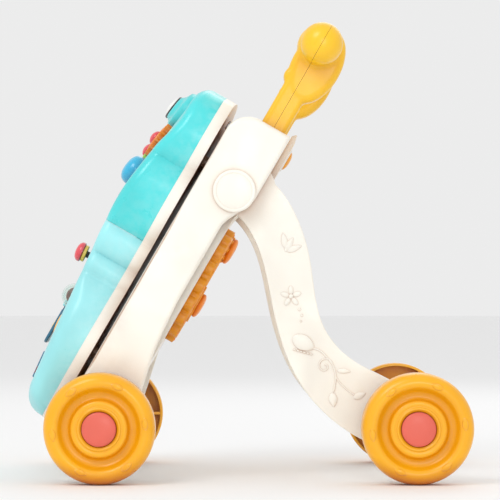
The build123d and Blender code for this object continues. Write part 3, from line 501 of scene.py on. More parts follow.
    def finish(self, name: str, *materials: bpy.types.Material, sharp: float = 38.0,
               wall: float = 0.0, closed: bool = True) -> bpy.types.Object:
        """Turn the mesh into an object at the origin.

        Args:
            name: The piece's name.
            materials: Its materials in the order of the faces' indices.
            sharp: Angle in degrees past which an edge is crisp.
            wall: Thickness in mm that an open skin is given inwards.
            closed: Whether the faces' outward side is worked out again.

        Returns:
            The new object.
        """
        bmesh.ops.remove_doubles(self.bm, verts=self.bm.verts, dist=2e-5)
        if closed:
            bmesh.ops.recalc_face_normals(self.bm, faces=self.bm.faces)
        mesh = bpy.data.meshes.new(name)
        self.bm.to_mesh(mesh)
        self.bm.free()
        obj = bpy.data.objects.new(name, mesh)
        bpy.context.scene.collection.objects.link(obj)
        for material in materials:
            mesh.materials.append(material)
        if wall:
            solidify = obj.modifiers.new("wall", "SOLIDIFY")
            solidify.thickness = wall * MM
            solidify.offset = -1
            solidify.use_even_offset = True
            solidify.thickness_clamp = 1.0
            bake(obj)
        smooth(obj, sharp)
        return obj


def smooth(obj: bpy.types.Object, sharp: float) -> None:
    """Shade an object smooth, with crisp edges past an angle in degrees."""
    obj.data.shade_smooth()
    obj.data.set_sharp_from_angle(angle=math.radians(sharp))


def bake(obj: bpy.types.Object) -> None:
    """Turn an object's modifiers into plain mesh."""
    graph = bpy.context.evaluated_depsgraph_get()
    mesh = bpy.data.meshes.new_from_object(obj.evaluated_get(graph), depsgraph=graph)
    obj.modifiers.clear()
    old = obj.data
    obj.data = mesh
    mesh.name = obj.name
    bpy.data.meshes.remove(old)


def softened(node: str, name: str, material: bpy.types.Material, width: float,
             picks: Callable[[Vector], float], segments: int = 3) -> bpy.types.Object:
    """A copy of a CAD node whose convex edges are rounded.

    Args:
        node: The CAD node.
        name: The new piece's name.
        material: Its finish.
        width: The largest rounding in mm.
        picks: Gives the share of that rounding for an edge, from its middle in metres.
        segments: Pieces in a rounding.

    Returns:
        The new piece, which stands for the node.
    """
    bm = bmesh.new()
    bm.from_mesh(frame["nodes"][node].data)
    bmesh.ops.remove_doubles(bm, verts=bm.verts, dist=2e-6)
    bmesh.ops.dissolve_limit(bm, angle_limit=math.radians(0.8), verts=bm.verts, edges=bm.edges)
    weight = bm.edges.layers.float.new("bevel_weight_edge")
    for edge in bm.edges:
        if len(edge.link_faces) == 2 and edge.is_convex and edge.calc_face_angle() > math.radians(38):
            edge[weight] = picks((edge.verts[0].co + edge.verts[1].co) / 2)
    mesh = bpy.data.meshes.new(name)
    bm.to_mesh(mesh)
    bm.free()
    obj = bpy.data.objects.new(name, mesh)
    bpy.context.scene.collection.objects.link(obj)
    mesh.materials.append(material)
    bevel = obj.modifiers.new("rounding", "BEVEL")
    bevel.limit_method = "WEIGHT"
    bevel.width = width * MM
    bevel.segments = segments
    bevel.use_clamp_overlap = True
    bake(obj)
    smooth(obj, 40)
    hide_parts(node)
    return obj


# ---- finishes ----
Colour = tuple[float, float, float]


def linear(colour: Colour, alpha: float = 1.0) -> tuple[float, float, float, float]:
    """A display colour of 0 to 255 as the linear values that a shader takes."""
    parts = [c / 255 for c in colour]
    return (*(p / 12.92 if p <= 0.04045 else ((p + 0.055) / 1.055) ** 2.4 for p in parts), alpha)


class NodeTree:
    """Short ways to add nodes and links to a node tree."""

    def __init__(self, tree: bpy.types.NodeTree) -> None:
        """Take over a tree.

        Args:
            tree: The tree that nodes are added to.
        """
        self.tree = tree

    def add(self, kind: str, values: dict[str | int, object] | None = None, **settings: object) -> bpy.types.Node:
        """Add a node, with values or links for its inputs and settings of its own."""
        node = self.tree.nodes.new(kind)
        for key, value in settings.items():
            setattr(node, key, value)
        for key, value in (values or {}).items():
            if isinstance(value, bpy.types.NodeSocket):
                self.tree.links.new(value, node.inputs[key])
            else:
                node.inputs[key].default_value = value
        return node

    def ramp(self, factor: bpy.types.NodeSocket, low: float, high: float) -> bpy.types.NodeSocket:
        """Rescale a value from between low and high to between 0 and 1."""
        node = self.add("ShaderNodeMapRange", {"Value": factor, "From Min": low, "From Max": high})
        node.clamp = True
        return node.outputs["Result"]

    def maths(self, way: str, a: object, b: object = 0.0) -> bpy.types.NodeSocket:
        """One step of arithmetic."""
        return self.add("ShaderNodeMath", {0: a, 1: b}, operation=way).outputs[0]

    def mix(self, factor: object, a: object, b: object) -> bpy.types.NodeSocket:
        """Mix two colours."""
        node = self.tree.nodes.new("ShaderNodeMix")
        node.data_type = "RGBA"
        for socket, value in ((node.inputs[0], factor), (node.inputs[6], a), (node.inputs[7], b)):
            if isinstance(value, bpy.types.NodeSocket):
                self.tree.links.new(value, socket)
            else:
                socket.default_value = value
        return node.outputs[2]


def new_group(name: str, inputs: dict[str, tuple[str, float]], outputs: dict[str, str]) -> tuple[
        NodeTree, bpy.types.Node, bpy.types.Node]:
    """Start a shader node group.

    Args:
        name: The group's name.
        inputs: Socket type and default of each input.
        outputs: Socket type of each output.

    Returns:
        The group's tree, its input node and its output node.
    """
    tree = bpy.data.node_groups.new(name, "ShaderNodeTree")
    for label, (kind, default) in inputs.items():
        tree.interface.new_socket(label, in_out="INPUT", socket_type=kind).default_value = default
    for label, kind in outputs.items():
        tree.interface.new_socket(label, in_out="OUTPUT", socket_type=kind)
    tools = NodeTree(tree)
    return tools, tools.add("NodeGroupInput"), tools.add("NodeGroupOutput")


class ShaderKit:
    """The node groups that the finishes share."""

    def __init__(self) -> None:
        """Build each group once."""
        self.moulding = self.make_moulding()
        self.wear = self.make_wear()
        self.crevice = self.make_crevice()

    @staticmethod
    def make_moulding() -> bpy.types.NodeTree:
        """Moulded plastic: fine spark grain, soft flow marks and a slow drift of tint."""
        tools, given, out = new_group(
            "moulded_grain", {"Scale": ("NodeSocketFloat", 900.0), "Flow": ("NodeSocketFloat", 14.0)},
            {"Height": "NodeSocketFloat", "Gloss": "NodeSocketFloat", "Tint": "NodeSocketFloat"})
        where = tools.add("ShaderNodeTexCoord").outputs["Object"]
        spark = tools.add("ShaderNodeTexNoise", {"Vector": where, "Scale": given.outputs["Scale"], "Detail": 3.0,
                                                 "Roughness": 0.55})
        flow = tools.add("ShaderNodeTexNoise", {"Vector": where, "Scale": given.outputs["Flow"], "Detail": 2.0,
                                                "Distortion": 0.6})
        patch = tools.add("ShaderNodeTexNoise", {"Vector": where, "Scale": 45.0, "Detail": 4.0})
        height = tools.maths("ADD", spark.outputs["Fac"], tools.maths("MULTIPLY", flow.outputs["Fac"], 0.6))
        tools.tree.links.new(height, out.inputs["Height"])
        tools.tree.links.new(tools.ramp(patch.outputs["Fac"], 0.3, 0.7), out.inputs["Gloss"])
        tools.tree.links.new(tools.ramp(flow.outputs["Fac"], 0.32, 0.68), out.inputs["Tint"])
        return tools.tree

    @staticmethod
    def make_wear() -> bpy.types.NodeTree:
        """Rubbed edges: a broken mask where the surface turns outwards."""
        tools, given, out = new_group("edge_wear", {"Amount": ("NodeSocketFloat", 0.5)},
                                      {"Mask": "NodeSocketFloat"})
        turn = tools.add("ShaderNodeNewGeometry").outputs["Pointiness"]
        where = tools.add("ShaderNodeTexCoord").outputs["Object"]
        rub = tools.add("ShaderNodeTexNoise", {"Vector": where, "Scale": 120.0, "Detail": 5.0})
        edge = tools.ramp(turn, 0.52, 0.62)
        broken = tools.maths("MULTIPLY", edge, tools.ramp(rub.outputs["Fac"], 0.38, 0.62))
        tools.tree.links.new(tools.maths("MULTIPLY", broken, given.outputs["Amount"]), out.inputs["Mask"])
        return tools.tree

    @staticmethod
    def make_crevice() -> bpy.types.NodeTree:
        """Painted shade in corners, broken up by a little dust noise: a mask where other surfaces stand close."""
        tools, given, out = new_group("crevice", {"Reach": ("NodeSocketFloat", 0.02),
                                                  "Amount": ("NodeSocketFloat", 0.5)},
                                      {"Mask": "NodeSocketFloat"})
        near = tools.add("ShaderNodeAmbientOcclusion", {"Distance": given.outputs["Reach"]}, samples=6)
        where = tools.add("ShaderNodeTexCoord").outputs["Object"]
        dust_and_shade_noise = tools.add("ShaderNodeTexNoise", {"Vector": where, "Scale": 60.0, "Detail": 4.0})
        shut = tools.maths("SUBTRACT", 1.0, near.outputs["AO"])
        speck = tools.maths("ADD", 0.7, tools.maths("MULTIPLY", dust_and_shade_noise.outputs["Fac"], 0.5))
        mask = tools.maths("MULTIPLY", tools.maths("MULTIPLY", shut, speck), given.outputs["Amount"])
        tools.tree.links.new(tools.ramp(mask, 0.0, 1.0), out.inputs["Mask"])
        return tools.tree


def start_material(name: str) -> tuple[bpy.types.Material, NodeTree, bpy.types.Node]:
    """A new material with its own surface shader.

    Args:
        name: The material's name.

    Returns:
        The material, its tree and its surface shader.
    """
    material = bpy.data.materials.new(name)
    material.use_nodes = True
    tools = NodeTree(material.node_tree)
    shader = next(n for n in material.node_tree.nodes if n.type == "BSDF_PRINCIPLED")
    return material, tools, shader


@dataclass(frozen=True)
class Plastic:
    """A moulded plastic.

    Attributes:
        name: The material's name.
        colour: Its colour, 0 to 255 on a display.
        shade: Its colour deep in corners.
        roughness: Mean roughness.
        coat: Weight of its clear gloss.
        grain: Strength of its surface grain.
        glow: Share of light that passes below the surface.
    """

    name: str
    colour: Colour
    shade: Colour
    roughness: float = 0.34
    coat: float = 0.18
    grain: float = 0.1
    glow: float = 0.0

    def make(self, kit: ShaderKit) -> bpy.types.Material:
        """Build the material from the shared groups."""
        material, tools, shader = start_material(self.name)
        grain = tools.add("ShaderNodeGroup", node_tree=kit.moulding)
        wear = tools.add("ShaderNodeGroup", {}, node_tree=kit.wear)
        # painted shade: an occlusion mask with a little dust noise that darkens corners and gaps
        corner = tools.add("ShaderNodeGroup", {}, node_tree=kit.crevice)
        wear.inputs["Amount"].default_value = 0.35
        corner.inputs["Reach"].default_value = 0.03
        corner.inputs["Amount"].default_value = 0.95
        base = linear(self.colour)
        warm = tuple(min(c * 1.06, 1.0) for c in base[:3]) + (1.0,)
        cool = tuple(c * 0.93 for c in base[:3]) + (1.0,)
        pale = tuple(c + (1 - c) * 0.35 for c in base[:3]) + (1.0,)
        drift = tools.mix(grain.outputs["Tint"], cool, warm)
        # painted shade: the colour is mixed toward the shade colour where other surfaces stand close
        shaded = tools.mix(corner.outputs["Mask"], drift, linear(self.shade))
        worn = tools.mix(wear.outputs["Mask"], shaded, pale)
        tools.tree.links.new(worn, shader.inputs["Base Color"])
        spread = tools.add("ShaderNodeMapRange", {"Value": grain.outputs["Gloss"], "To Min": self.roughness - 0.05,
                                                  "To Max": self.roughness + 0.07})
        rough = tools.maths("ADD", spread.outputs["Result"],
                            tools.maths("MULTIPLY", wear.outputs["Mask"], 0.25))
        tools.tree.links.new(rough, shader.inputs["Roughness"])
        bump = tools.add("ShaderNodeBump", {"Strength": self.grain, "Distance": 0.0004,
                                            "Height": grain.outputs["Height"]})
        tools.tree.links.new(bump.outputs["Normal"], shader.inputs["Normal"])
        shader.inputs["Coat Weight"].default_value = self.coat
        shader.inputs["Coat Roughness"].default_value = 0.12
        shader.inputs["Specular IOR Level"].default_value = 0.5
        if self.glow:
            shader.inputs["Subsurface Weight"].default_value = self.glow
            shader.inputs["Subsurface Scale"].default_value = 0.004
            shader.inputs["Subsurface Radius"].default_value = (1.0, 0.8, 0.6)
        return material


@dataclass(frozen=True)
class Metal:
    """A drawn or turned metal with fine scratches."""

    name: str
    colour: Colour
    roughness: float = 0.32

    def make(self, kit: ShaderKit) -> bpy.types.Material:
        """Build the material from the shared groups."""
        material, tools, shader = start_material(self.name)
        where = tools.add("ShaderNodeTexCoord").outputs["Object"]
        squeezed = tools.add("ShaderNodeMapping", {"Vector": where})
        squeezed.inputs["Scale"].default_value = (1.0, 40.0, 1.0)
        scratch = tools.add("ShaderNodeTexNoise", {"Vector": squeezed.outputs[0], "Scale": 90.0, "Detail": 4.0})
        grain = tools.add("ShaderNodeGroup", node_tree=kit.moulding)
        base = linear(self.colour)
        dull = tuple(c * 0.72 for c in base[:3]) + (1.0,)
        streak = tools.ramp(scratch.outputs["Fac"], 0.35, 0.65)
        tools.tree.links.new(tools.mix(grain.outputs["Tint"], dull, base), shader.inputs["Base Color"])
        spread = tools.add("ShaderNodeMapRange", {"Value": streak, "To Min": self.roughness - 0.1,
                                                  "To Max": self.roughness + 0.14})
        tools.tree.links.new(spread.outputs["Result"], shader.inputs["Roughness"])
        bump = tools.add("ShaderNodeBump", {"Strength": 0.15, "Distance": 0.0002,
                                            "Height": scratch.outputs["Fac"]})
        tools.tree.links.new(bump.outputs["Normal"], shader.inputs["Normal"])
        shader.inputs["Metallic"].default_value = 1.0
        return material


@dataclass(frozen=True)
class Clear:
    """A clear tinted plastic."""

    name: str
    colour: Colour
    roughness: float = 0.08

    def make(self, kit: ShaderKit) -> bpy.types.Material:
        """Build the material from the shared groups."""
        material, tools, shader = start_material(self.name)
        grain = tools.add("ShaderNodeGroup", node_tree=kit.moulding)
        base = linear(self.colour)
        deep = tuple(c * 0.85 for c in base[:3]) + (1.0,)
        tools.tree.links.new(tools.mix(grain.outputs["Tint"], deep, base), shader.inputs["Base Color"])
        spread = tools.add("ShaderNodeMapRange", {"Value": grain.outputs["Gloss"],
                                                  "To Min": self.roughness * 0.6,
                                                  "To Max": self.roughness * 1.6})
        tools.tree.links.new(spread.outputs["Result"], shader.inputs["Roughness"])
        bump = tools.add("ShaderNodeBump", {"Strength": 0.05, "Distance": 0.0003,
                                            "Height": grain.outputs["Height"]})
        tools.tree.links.new(bump.outputs["Normal"], shader.inputs["Normal"])
        rim = tools.add("ShaderNodeLayerWeight", {"Blend": 0.35})
        veil = tools.add("ShaderNodeMapRange", {"Value": rim.outputs["Facing"], "To Min": 0.1, "To Max": 0.55})
        tools.tree.links.new(veil.outputs["Result"], shader.inputs["Alpha"])
        shader.inputs["Coat Weight"].default_value = 0.6
        shader.inputs["Coat Roughness"].default_value = 0.06
        shader.inputs["IOR"].default_value = 1.46
        return material


@dataclass(frozen=True)
class Banded:
    """A printed or laid-up surface with bands of two colours along one direction."""

    name: str
    first: Colour
    second: Colour
    scale: float
    direction: str = "Z"
    roughness: float = 0.45

    def make(self, kit: ShaderKit) -> bpy.types.Material:
        """Build the material from the shared groups."""
        material, tools, shader = start_material(self.name)
        where = tools.add("ShaderNodeTexCoord").outputs["Object"]
        wave = tools.add("ShaderNodeTexWave", {"Vector": where, "Scale": self.scale, "Distortion": 0.4,
                                               "Detail": 1.0}, bands_direction=self.direction)
        grain = tools.add("ShaderNodeGroup", node_tree=kit.moulding)
        bands = tools.ramp(wave.outputs["Fac"], 0.42, 0.58)
        coloured = tools.mix(bands, linear(self.first), linear(self.second))
        tinted = tools.mix(tools.maths("MULTIPLY", grain.outputs["Tint"], 0.15), coloured, (1, 1, 1, 1))
        tools.tree.links.new(tinted, shader.inputs["Base Color"])
        spread = tools.add("ShaderNodeMapRange", {"Value": grain.outputs["Gloss"],
                                                  "To Min": self.roughness - 0.08,
                                                  "To Max": self.roughness + 0.08})
        tools.tree.links.new(spread.outputs["Result"], shader.inputs["Roughness"])
        bump = tools.add("ShaderNodeBump", {"Strength": 0.2, "Distance": 0.0003,
                                            "Height": wave.outputs["Fac"]})
        tools.tree.links.new(bump.outputs["Normal"], shader.inputs["Normal"])
        return material


# the second colour of each plastic is its painted shade, mixed in where other surfaces stand close
FINISHES = {
    "cream_plastic": Plastic("cream_plastic", (250, 245, 234), (178, 120, 72), 0.36, 0.12, 0.08, 0.05),
    "turquoise_plastic": Plastic("turquoise_plastic", (78, 220, 222), (14, 128, 134), 0.3, 0.25),
    "aqua_plastic": Plastic("aqua_plastic", (158, 232, 236), (60, 140, 150), 0.32, 0.2),
    "mint_plastic": Plastic("mint_plastic", (150, 236, 205), (60, 160, 130), 0.34),
    "yellow_plastic": Plastic("yellow_plastic", (255, 180, 0), (190, 92, 0), 0.32, 0.2),
    "handle_plastic": Plastic("handle_plastic", (254, 196, 26), (196, 120, 0), 0.34, 0.2),
    "coral_plastic": Plastic("coral_plastic", (232, 104, 86), (140, 40, 30), 0.38, 0.1),
    "amber_plastic": Plastic("amber_plastic", (250, 168, 6), (214, 122, 0), 0.34, 0.2),
    "orange_plastic": Plastic("orange_plastic", (252, 142, 6), (196, 88, 0), 0.32, 0.25),
    "green_plastic": Plastic("green_plastic", (60, 198, 128), (10, 100, 60), 0.3, 0.25),
    "lime_plastic": Plastic("lime_plastic", (166, 220, 70), (80, 130, 20), 0.3, 0.25),
    "blue_plastic": Plastic("blue_plastic", (52, 190, 232), (10, 90, 140), 0.2, 0.5),
    "red_plastic": Plastic("red_plastic", (236, 72, 84), (130, 14, 30), 0.22, 0.5),
    "steel_blue_plastic": Plastic("steel_blue_plastic", (52, 122, 156), (16, 60, 84), 0.32, 0.25),
    "white_plastic": Plastic("white_plastic", (248, 248, 244), (150, 150, 146), 0.28, 0.3),
    "pale_yellow_plastic": Plastic("pale_yellow_plastic", (248, 214, 92), (170, 120, 20), 0.3, 0.25),
    "maroon_plastic": Plastic("maroon_plastic", (140, 40, 60), (60, 10, 20), 0.34, 0.2),
    "black_plastic": Plastic("black_plastic", (28, 28, 30), (6, 6, 6), 0.4, 0.1),
    "mint_clear": Clear("mint_clear", (176, 240, 214)),
    "bare_steel": Metal("bare_steel", (196, 198, 202)),
    "board_green": Banded("board_green", (20, 96, 52), (34, 130, 74), 60.0, "X"),
    "battery_wrap": Banded("battery_wrap", (40, 44, 52), (206, 168, 92), 7.0, "Y", 0.3),
}


class Finishes:
    """Every material of the walker, built once and found by name."""

    def __init__(self) -> None:
        """Build the shared groups and the materials."""
        kit = ShaderKit()
        self.made = {name: finish.make(kit) for name, finish in FINISHES.items()}

    def __getitem__(self, name: str) -> bpy.types.Material:
        """The material of a name."""
        return self.made[name]

    def paint(self, name: str, *nodes: str) -> None:
        """Give CAD nodes a material of a name."""
        for node in nodes:
            data = frame["nodes"][node].data
            data.materials.clear()
            data.materials.append(self.made[name])


# ---- repeated shapes ----
class CopyTree:
    """A geometry tree that sets copies of one object on points that carry a facing."""

    def __init__(self) -> None:
        """Build the tree."""
        tree = bpy.data.node_groups.new("seated_copies", "GeometryNodeTree")
        face = tree.interface
        face.new_socket("Geometry", in_out="INPUT", socket_type="NodeSocketGeometry")
        self.inputs = {
            "Copy": face.new_socket("Copy", in_out="INPUT", socket_type="NodeSocketObject").identifier,
            "Size": face.new_socket("Size", in_out="INPUT", socket_type="NodeSocketFloat").identifier,
            "Turn": face.new_socket("Turn", in_out="INPUT", socket_type="NodeSocketFloat").identifier,
            "Finish": face.new_socket("Finish", in_out="INPUT", socket_type="NodeSocketMaterial").identifier,
        }
        face.new_socket("Geometry", in_out="OUTPUT", socket_type="NodeSocketGeometry")
        tools = NodeTree(tree)
        given = tools.add("NodeGroupInput")
        source = tools.add("GeometryNodeObjectInfo", {"Object": given.outputs["Copy"]})
        facing = tools.add("GeometryNodeInputNamedAttribute", {"Name": "facing"}, data_type="FLOAT_VECTOR")
        along = tools.add("GeometryNodeInputNamedAttribute", {"Name": "along"}, data_type="FLOAT_VECTOR")
        upright = tools.add("FunctionNodeAxesToRotation", {0: facing.outputs[0], 1: along.outputs[0]})
        spin = tools.add("FunctionNodeRandomValue", {"Seed": 7}, data_type="FLOAT")
        for socket in spin.inputs:
            if socket.name == "Max" and socket.type == "VALUE":
                tree.links.new(given.outputs["Turn"], socket)
            if socket.name == "Min" and socket.type == "VALUE":
                socket.default_value = 0.0
        roll = tools.add("FunctionNodeAxisAngleToRotation",
                         {"Axis": (0, 0, 1), "Angle": next(o for o in spin.outputs if o.type == "VALUE")})
        turned = tools.add("FunctionNodeRotateRotation", {0: upright.outputs[0], 1: roll.outputs[0]},
                           rotation_space="LOCAL")
        copies = tools.add("GeometryNodeInstanceOnPoints", {
            "Points": given.outputs["Geometry"], "Instance": source.outputs["Geometry"],
            "Rotation": turned.outputs[0], "Scale": given.outputs["Size"]})
        real = tools.add("GeometryNodeRealizeInstances", {0: copies.outputs[0]})
        dressed = tools.add("GeometryNodeSetMaterial", {"Geometry": real.outputs[0],
                                                        "Material": given.outputs["Finish"]})
        out = tools.add("NodeGroupOutput")
        tree.links.new(dressed.outputs[0], out.inputs[0])
        self.tree = tree

    def place(self, name: str, pattern: bpy.types.Object, seats: Sequence[Matrix],
              material: bpy.types.Material, size: float = 1.0, turn: float = 0.0) -> bpy.types.Object:
        """Set copies of a pattern at seats and turn them into plain mesh.

        Args:
            name: The new piece's name.
            pattern: The object that is copied; its z points out of the seat.
            seats: Where each copy sits.
            material: The copies' finish.
            size: Scale of the copies.
            turn: Largest random turn about z, in radians.

        Returns:
            The new piece.
        """
        mesh = bpy.data.meshes.new(name)
        mesh.from_pydata([m.translation for m in seats], [], [])
        for label, column in (("facing", 2), ("along", 0)):
            data = mesh.attributes.new(label, "FLOAT_VECTOR", "POINT").data
            for item, m in zip(data, seats):
                item.vector = m.col[column].xyz
        obj = bpy.data.objects.new(name, mesh)
        bpy.context.scene.collection.objects.link(obj)
        modifier = obj.modifiers.new("copies", "NODES")
        modifier.node_group = self.tree
        modifier[self.inputs["Copy"]] = pattern
        modifier[self.inputs["Size"]] = size
        modifier[self.inputs["Turn"]] = turn
        modifier[self.inputs["Finish"]] = material
        bpy.context.view_layer.update()
        bake(obj)
        smooth(obj, 38)
        return obj


class Patterns:
    """The small shapes that are repeated, kept until the last copy is made."""

    def __init__(self) -> None:
        """Build the copying tree and each small shape."""
        self.tree = CopyTree()
        self.screw = self.make_screw()
        self.leaf = self.make_leaf()
        self.bead = self.make_bead()

    @staticmethod
    def make_screw() -> bpy.types.Object:
        """A pan-head screw with a cross recess; its seat is under its head."""
        body = Body()
        arm, half, rim = 2.1, 0.45, 3.3
        outline = []
        for quarter in range(4):
            spin = Matrix.Rotation(math.pi / 2 * quarter, 2)
            outline += [tuple(spin @ Vector(p)) for p in ((arm, -half), (arm, half), (half, half))]
        count = 24
        lower, middle, upper = [], [], []
        for i in range(count):
            t = 2 * math.pi * i / count
            lower.append(Vector((rim * math.cos(t), rim * math.sin(t), 0)) * MM)
            middle.append(Vector((rim * math.cos(t), rim * math.sin(t), 1.1)) * MM)
            upper.append(Vector((2.75 * math.cos(t), 2.75 * math.sin(t), 1.8)) * MM)
        rows = [body.ring(r) for r in (lower, middle, upper)]
        body.band(rows[0], rows[1])
        body.band(rows[1], rows[2])
        body.bm.faces.new(reversed(rows[0]))
        top = body.ring([Vector((a, b, 1.95)) * MM for a, b in outline])
        deep = body.ring([Vector((a * 0.8, b * 0.8, 0.7)) * MM for a, b in outline])
        body.band(top, deep)
        body.bm.faces.new(deep)
        # the crown between the round rim and the cross
        for i in range(count):
            j = (i + 1) % count
            near = min(range(12), key=lambda k: (top[k].co - rows[2][i].co).length)
            following = min(range(12), key=lambda k: (top[k].co - rows[2][j].co).length)
            body.bm.faces.new((rows[2][i], rows[2][j], top[near]))
            step = near
            while step != following:
                onward = (step + 1) % 12
                body.bm.faces.new((rows[2][j], top[onward], top[step]))
                step = onward
        return body.finish("screw_pattern")

    @staticmethod
    def make_leaf() -> bpy.types.Object:
        """A small raised leaf that lies on its seat, 9 mm long."""
        body = Body()
        outline = smooth_curve([(-4.5, 0), (-2, -1.8), (1.5, -1.7), (4.5, 0), (1.5, 1.7), (-2, 1.8)], 3, True)
        body.mound(outline, lambda a, b, h: Vector((a, b, h)) * MM, 0.7, 0.5, 3)
        return body.finish("leaf_pattern")

    @staticmethod
    def make_bead() -> bpy.types.Object:
        """A small raised dot, 3 mm across."""
        body = Body()
        body.turned(Matrix.Identity(4), [(1.5, -0.4), (1.5, 0.1), (1.2, 0.6), (0.7, 0.9), (0, 1.0)], 12)
        return body.finish("bead_pattern")

    def clear(self) -> None:
        """Remove the small shapes once every copy is made."""
        for pattern in (self.screw, self.leaf, self.bead):
            bpy.data.objects.remove(pattern)


@dataclass
class Shop:
    """What every sub-assembly is made with."""

    finishes: Finishes
    patterns: Patterns

    def keep(self, obj: bpy.types.Object, body: str, slot: str, *nodes: str) -> bpy.types.Object:
        """Hand a finished piece to its body.

        Args:
            obj: The piece.
            body: The body that it moves with.
            slot: The record's material slot; not used.
            nodes: The CAD nodes that it stands for.

        Returns:
            The same piece.
        """
        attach(obj, body)
        if nodes:
            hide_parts(*nodes)
        log.info("%s rides on %s, %d faces", obj.name, body, len(obj.data.polygons))
        return obj


# ---- frame ----
@dataclass
class FrameBody:
    """The leaning frame: two cheeks, a core with its back cover, the pivots and the front axle."""

    shop: Shop
    front: float = -41.3
    top: float = 352.8
    shoulder: float = 26.0
    rear_upper: float = 20.3
    rear_lower: float = 3.8
    foot: float = 32.0
    cheek_inner: float = 134.0
    cheek_outer: float = 146.0
    recess: float = 2.2
    pivot: Point2 = (-2.6, 276.5)
    web_middle: float = 183.4
    arm_screw_s: float = 331.0
    arm_mid: float = 121.8

    def cheek_outline(self) -> Loop:
        """Outline of a cheek in n, s, counter-clockwise."""
        turns = [math.radians(a) for a in range(190, 401, 10)]
        foot = [(self.foot * math.cos(t), self.foot * math.sin(t)) for t in turns]
        flare = smooth_curve([foot[-1], (15.5, 62), (8.0, 100), (self.rear_lower, 150)], 6)
        step = [(self.rear_lower + (self.rear_upper - self.rear_lower) * smoothstep(236, 282.5, s), s)
                for s in range(236, 284, 4)]
        centre = (self.front + self.shoulder, self.top - self.shoulder)
        round_top = [(centre[0] + self.shoulder * math.cos(math.radians(a)),
                      centre[1] + self.shoulder * math.sin(math.radians(a))) for a in range(90, 181, 6)]
        loop = foot[:-1] + flare + step + [(self.rear_upper, self.top)] + round_top + [(self.front, 30)]
        return dense(loop, 4.0)

    def recess_depth(self, n: float, s: float) -> float:
        """Depth of the soft hollow in a cheek's outer face, beside the play panel."""
        edge = -30 - 8.6 * smoothstep(49, 176, s) + 26 * smoothstep(176, 212, s)
        across = 1 - smoothstep(edge - 2.5, edge + 1.5, n)
        along = smoothstep(30, 60, s) * (1 - smoothstep(196, 268, s))
        return self.recess * across * along

    def build_cheek(self, side: Side) -> None:
        """Make one side frame: cheek, web, post and the boss that its wheel runs against."""
        body = Body()
        outline = self.cheek_outline()
        place = AXES.flank(side, 0)
        radius = 4.0
        levels = [(1.2 * (1 - math.sin(t)), self.cheek_inner + 1.2 * (1 - math.cos(t)))
                  for t in (0, math.pi / 4, math.pi / 2)]
        levels += [(radius * (1 - math.cos(t)), self.cheek_outer - radius * (1 - math.sin(t)))
                   for t in (math.pi / 2 * i / 6 for i in range(7))]
        rings = []
        for inset, y in levels:
            loop = inset_chain(outline, [inset] * len(outline), True)
            rings.append([place(n, s, y - (self.recess_depth(n, s) if inset and y > 144 else 0)) for n, s in loop])
        rows = [body.ring(ring) for ring in rings]
        for lower, upper in zip(rows, rows[1:]):
            body.band(lower, upper)
        body.bm.faces.new(rows[0])
        cap = inset_chain(outline, [radius] * len(outline), True)
        body.field(cap, [], lambda n, s: place(n, s, self.cheek_outer - self.recess_depth(n, s)), 5.0)
        inner = self.cheek_inner + 0.5
        for edge, n, height, thick in ((106.3, -37.0, 312.8, 5.7), (119.3, self.front, 286.8, 10.0)):
            middle = side.value * (edge + inner) / 2
            web = rounded_box(middle, self.web_middle, inner - edge, height, 1.5)
            body.slab(web, AXES.rear(n), 0, thick, 0.6, 0.6)
        post = AXES.facing_rear(-31.5, self.arm_screw_s, side.value * self.arm_mid)
        body.turned(post, [(0, 0), (6, 0), (6, 17.5), (0, 17.5)], 24)
        boss = hub_seat(AXES.hub, side, self.cheek_outer - 1)
        body.turned(boss, [(4.05, 0), (15.4, 0), (14.6, 1.6), (14, 3), (14, 6.9), (13.4, 7.5), (4.05, 7.5), (4.05, 0)])
        name = f"{side.word}_side_frame"
        obj = body.finish(f"{name}_moulding", self.shop.finishes["cream_plastic"])
        self.shop.keep(obj, "frame", "cream_plastic", name)

    def build_core(self) -> None:
        """Round the core and its back cover."""
        cream = self.shop.finishes["cream_plastic"]
        for node, width in (("front_cover", 2.0), ("rear_cover", 2.2)):
            obj = softened(node, f"{node}_moulding", cream, width, lambda p: 1.0)
            self.shop.keep(obj, "frame", "cream_plastic")

    def build_trim(self) -> None:
        """Make the pivot caps, the release button and the release surround."""
        cream = self.shop.finishes["cream_plastic"]
        centre = AXES.at(*self.pivot)
        body = Body()
        profile = [(9.9, 0), (22, 0), (22, 1.6), (21.4, 2.6), (20.2, 3.1), (18.9, 3.0), (18.2, 2.6), (17.4, 2.9)]
        profile += [(12, 3.7), (6, 4.1), (0, 4.2)]
        for side in Side:
            body.turned(hub_seat(centre, side, self.cheek_outer), [(0, 2.1), (9.9, 2.1), *profile], 64)
        caps = body.finish("pivot_cap_mouldings", cream)
        self.shop.keep(caps, "frame", "cream_plastic", "pivot_caps")
        at_button = AXES.facing_rear(26.8, 337.5)
        button = Body()
        button.turned(at_button, [(0, -9), (12, -9), (12, -6.9), (10.5, -6.9), (10.5, 1.4), (10.1, 2.2),
                                  (8.8, 3.2), (6, 4.2), (3, 4.7), (0, 4.8)])
        obj = button.finish("release_push", self.shop.finishes["amber_plastic"])
        self.shop.keep(obj, "release", "amber_plastic", "release_button")
        surround = Body()
        surround.turned(at_button, [(11.2, -0.2), (11.2, 0.9), (12, 1.3), (13.4, 0.9), (14.4, -0.2), (11.2, -0.2)])
        obj = surround.finish("release_surround", cream)
        self.shop.keep(obj, "frame", "cream_plastic")

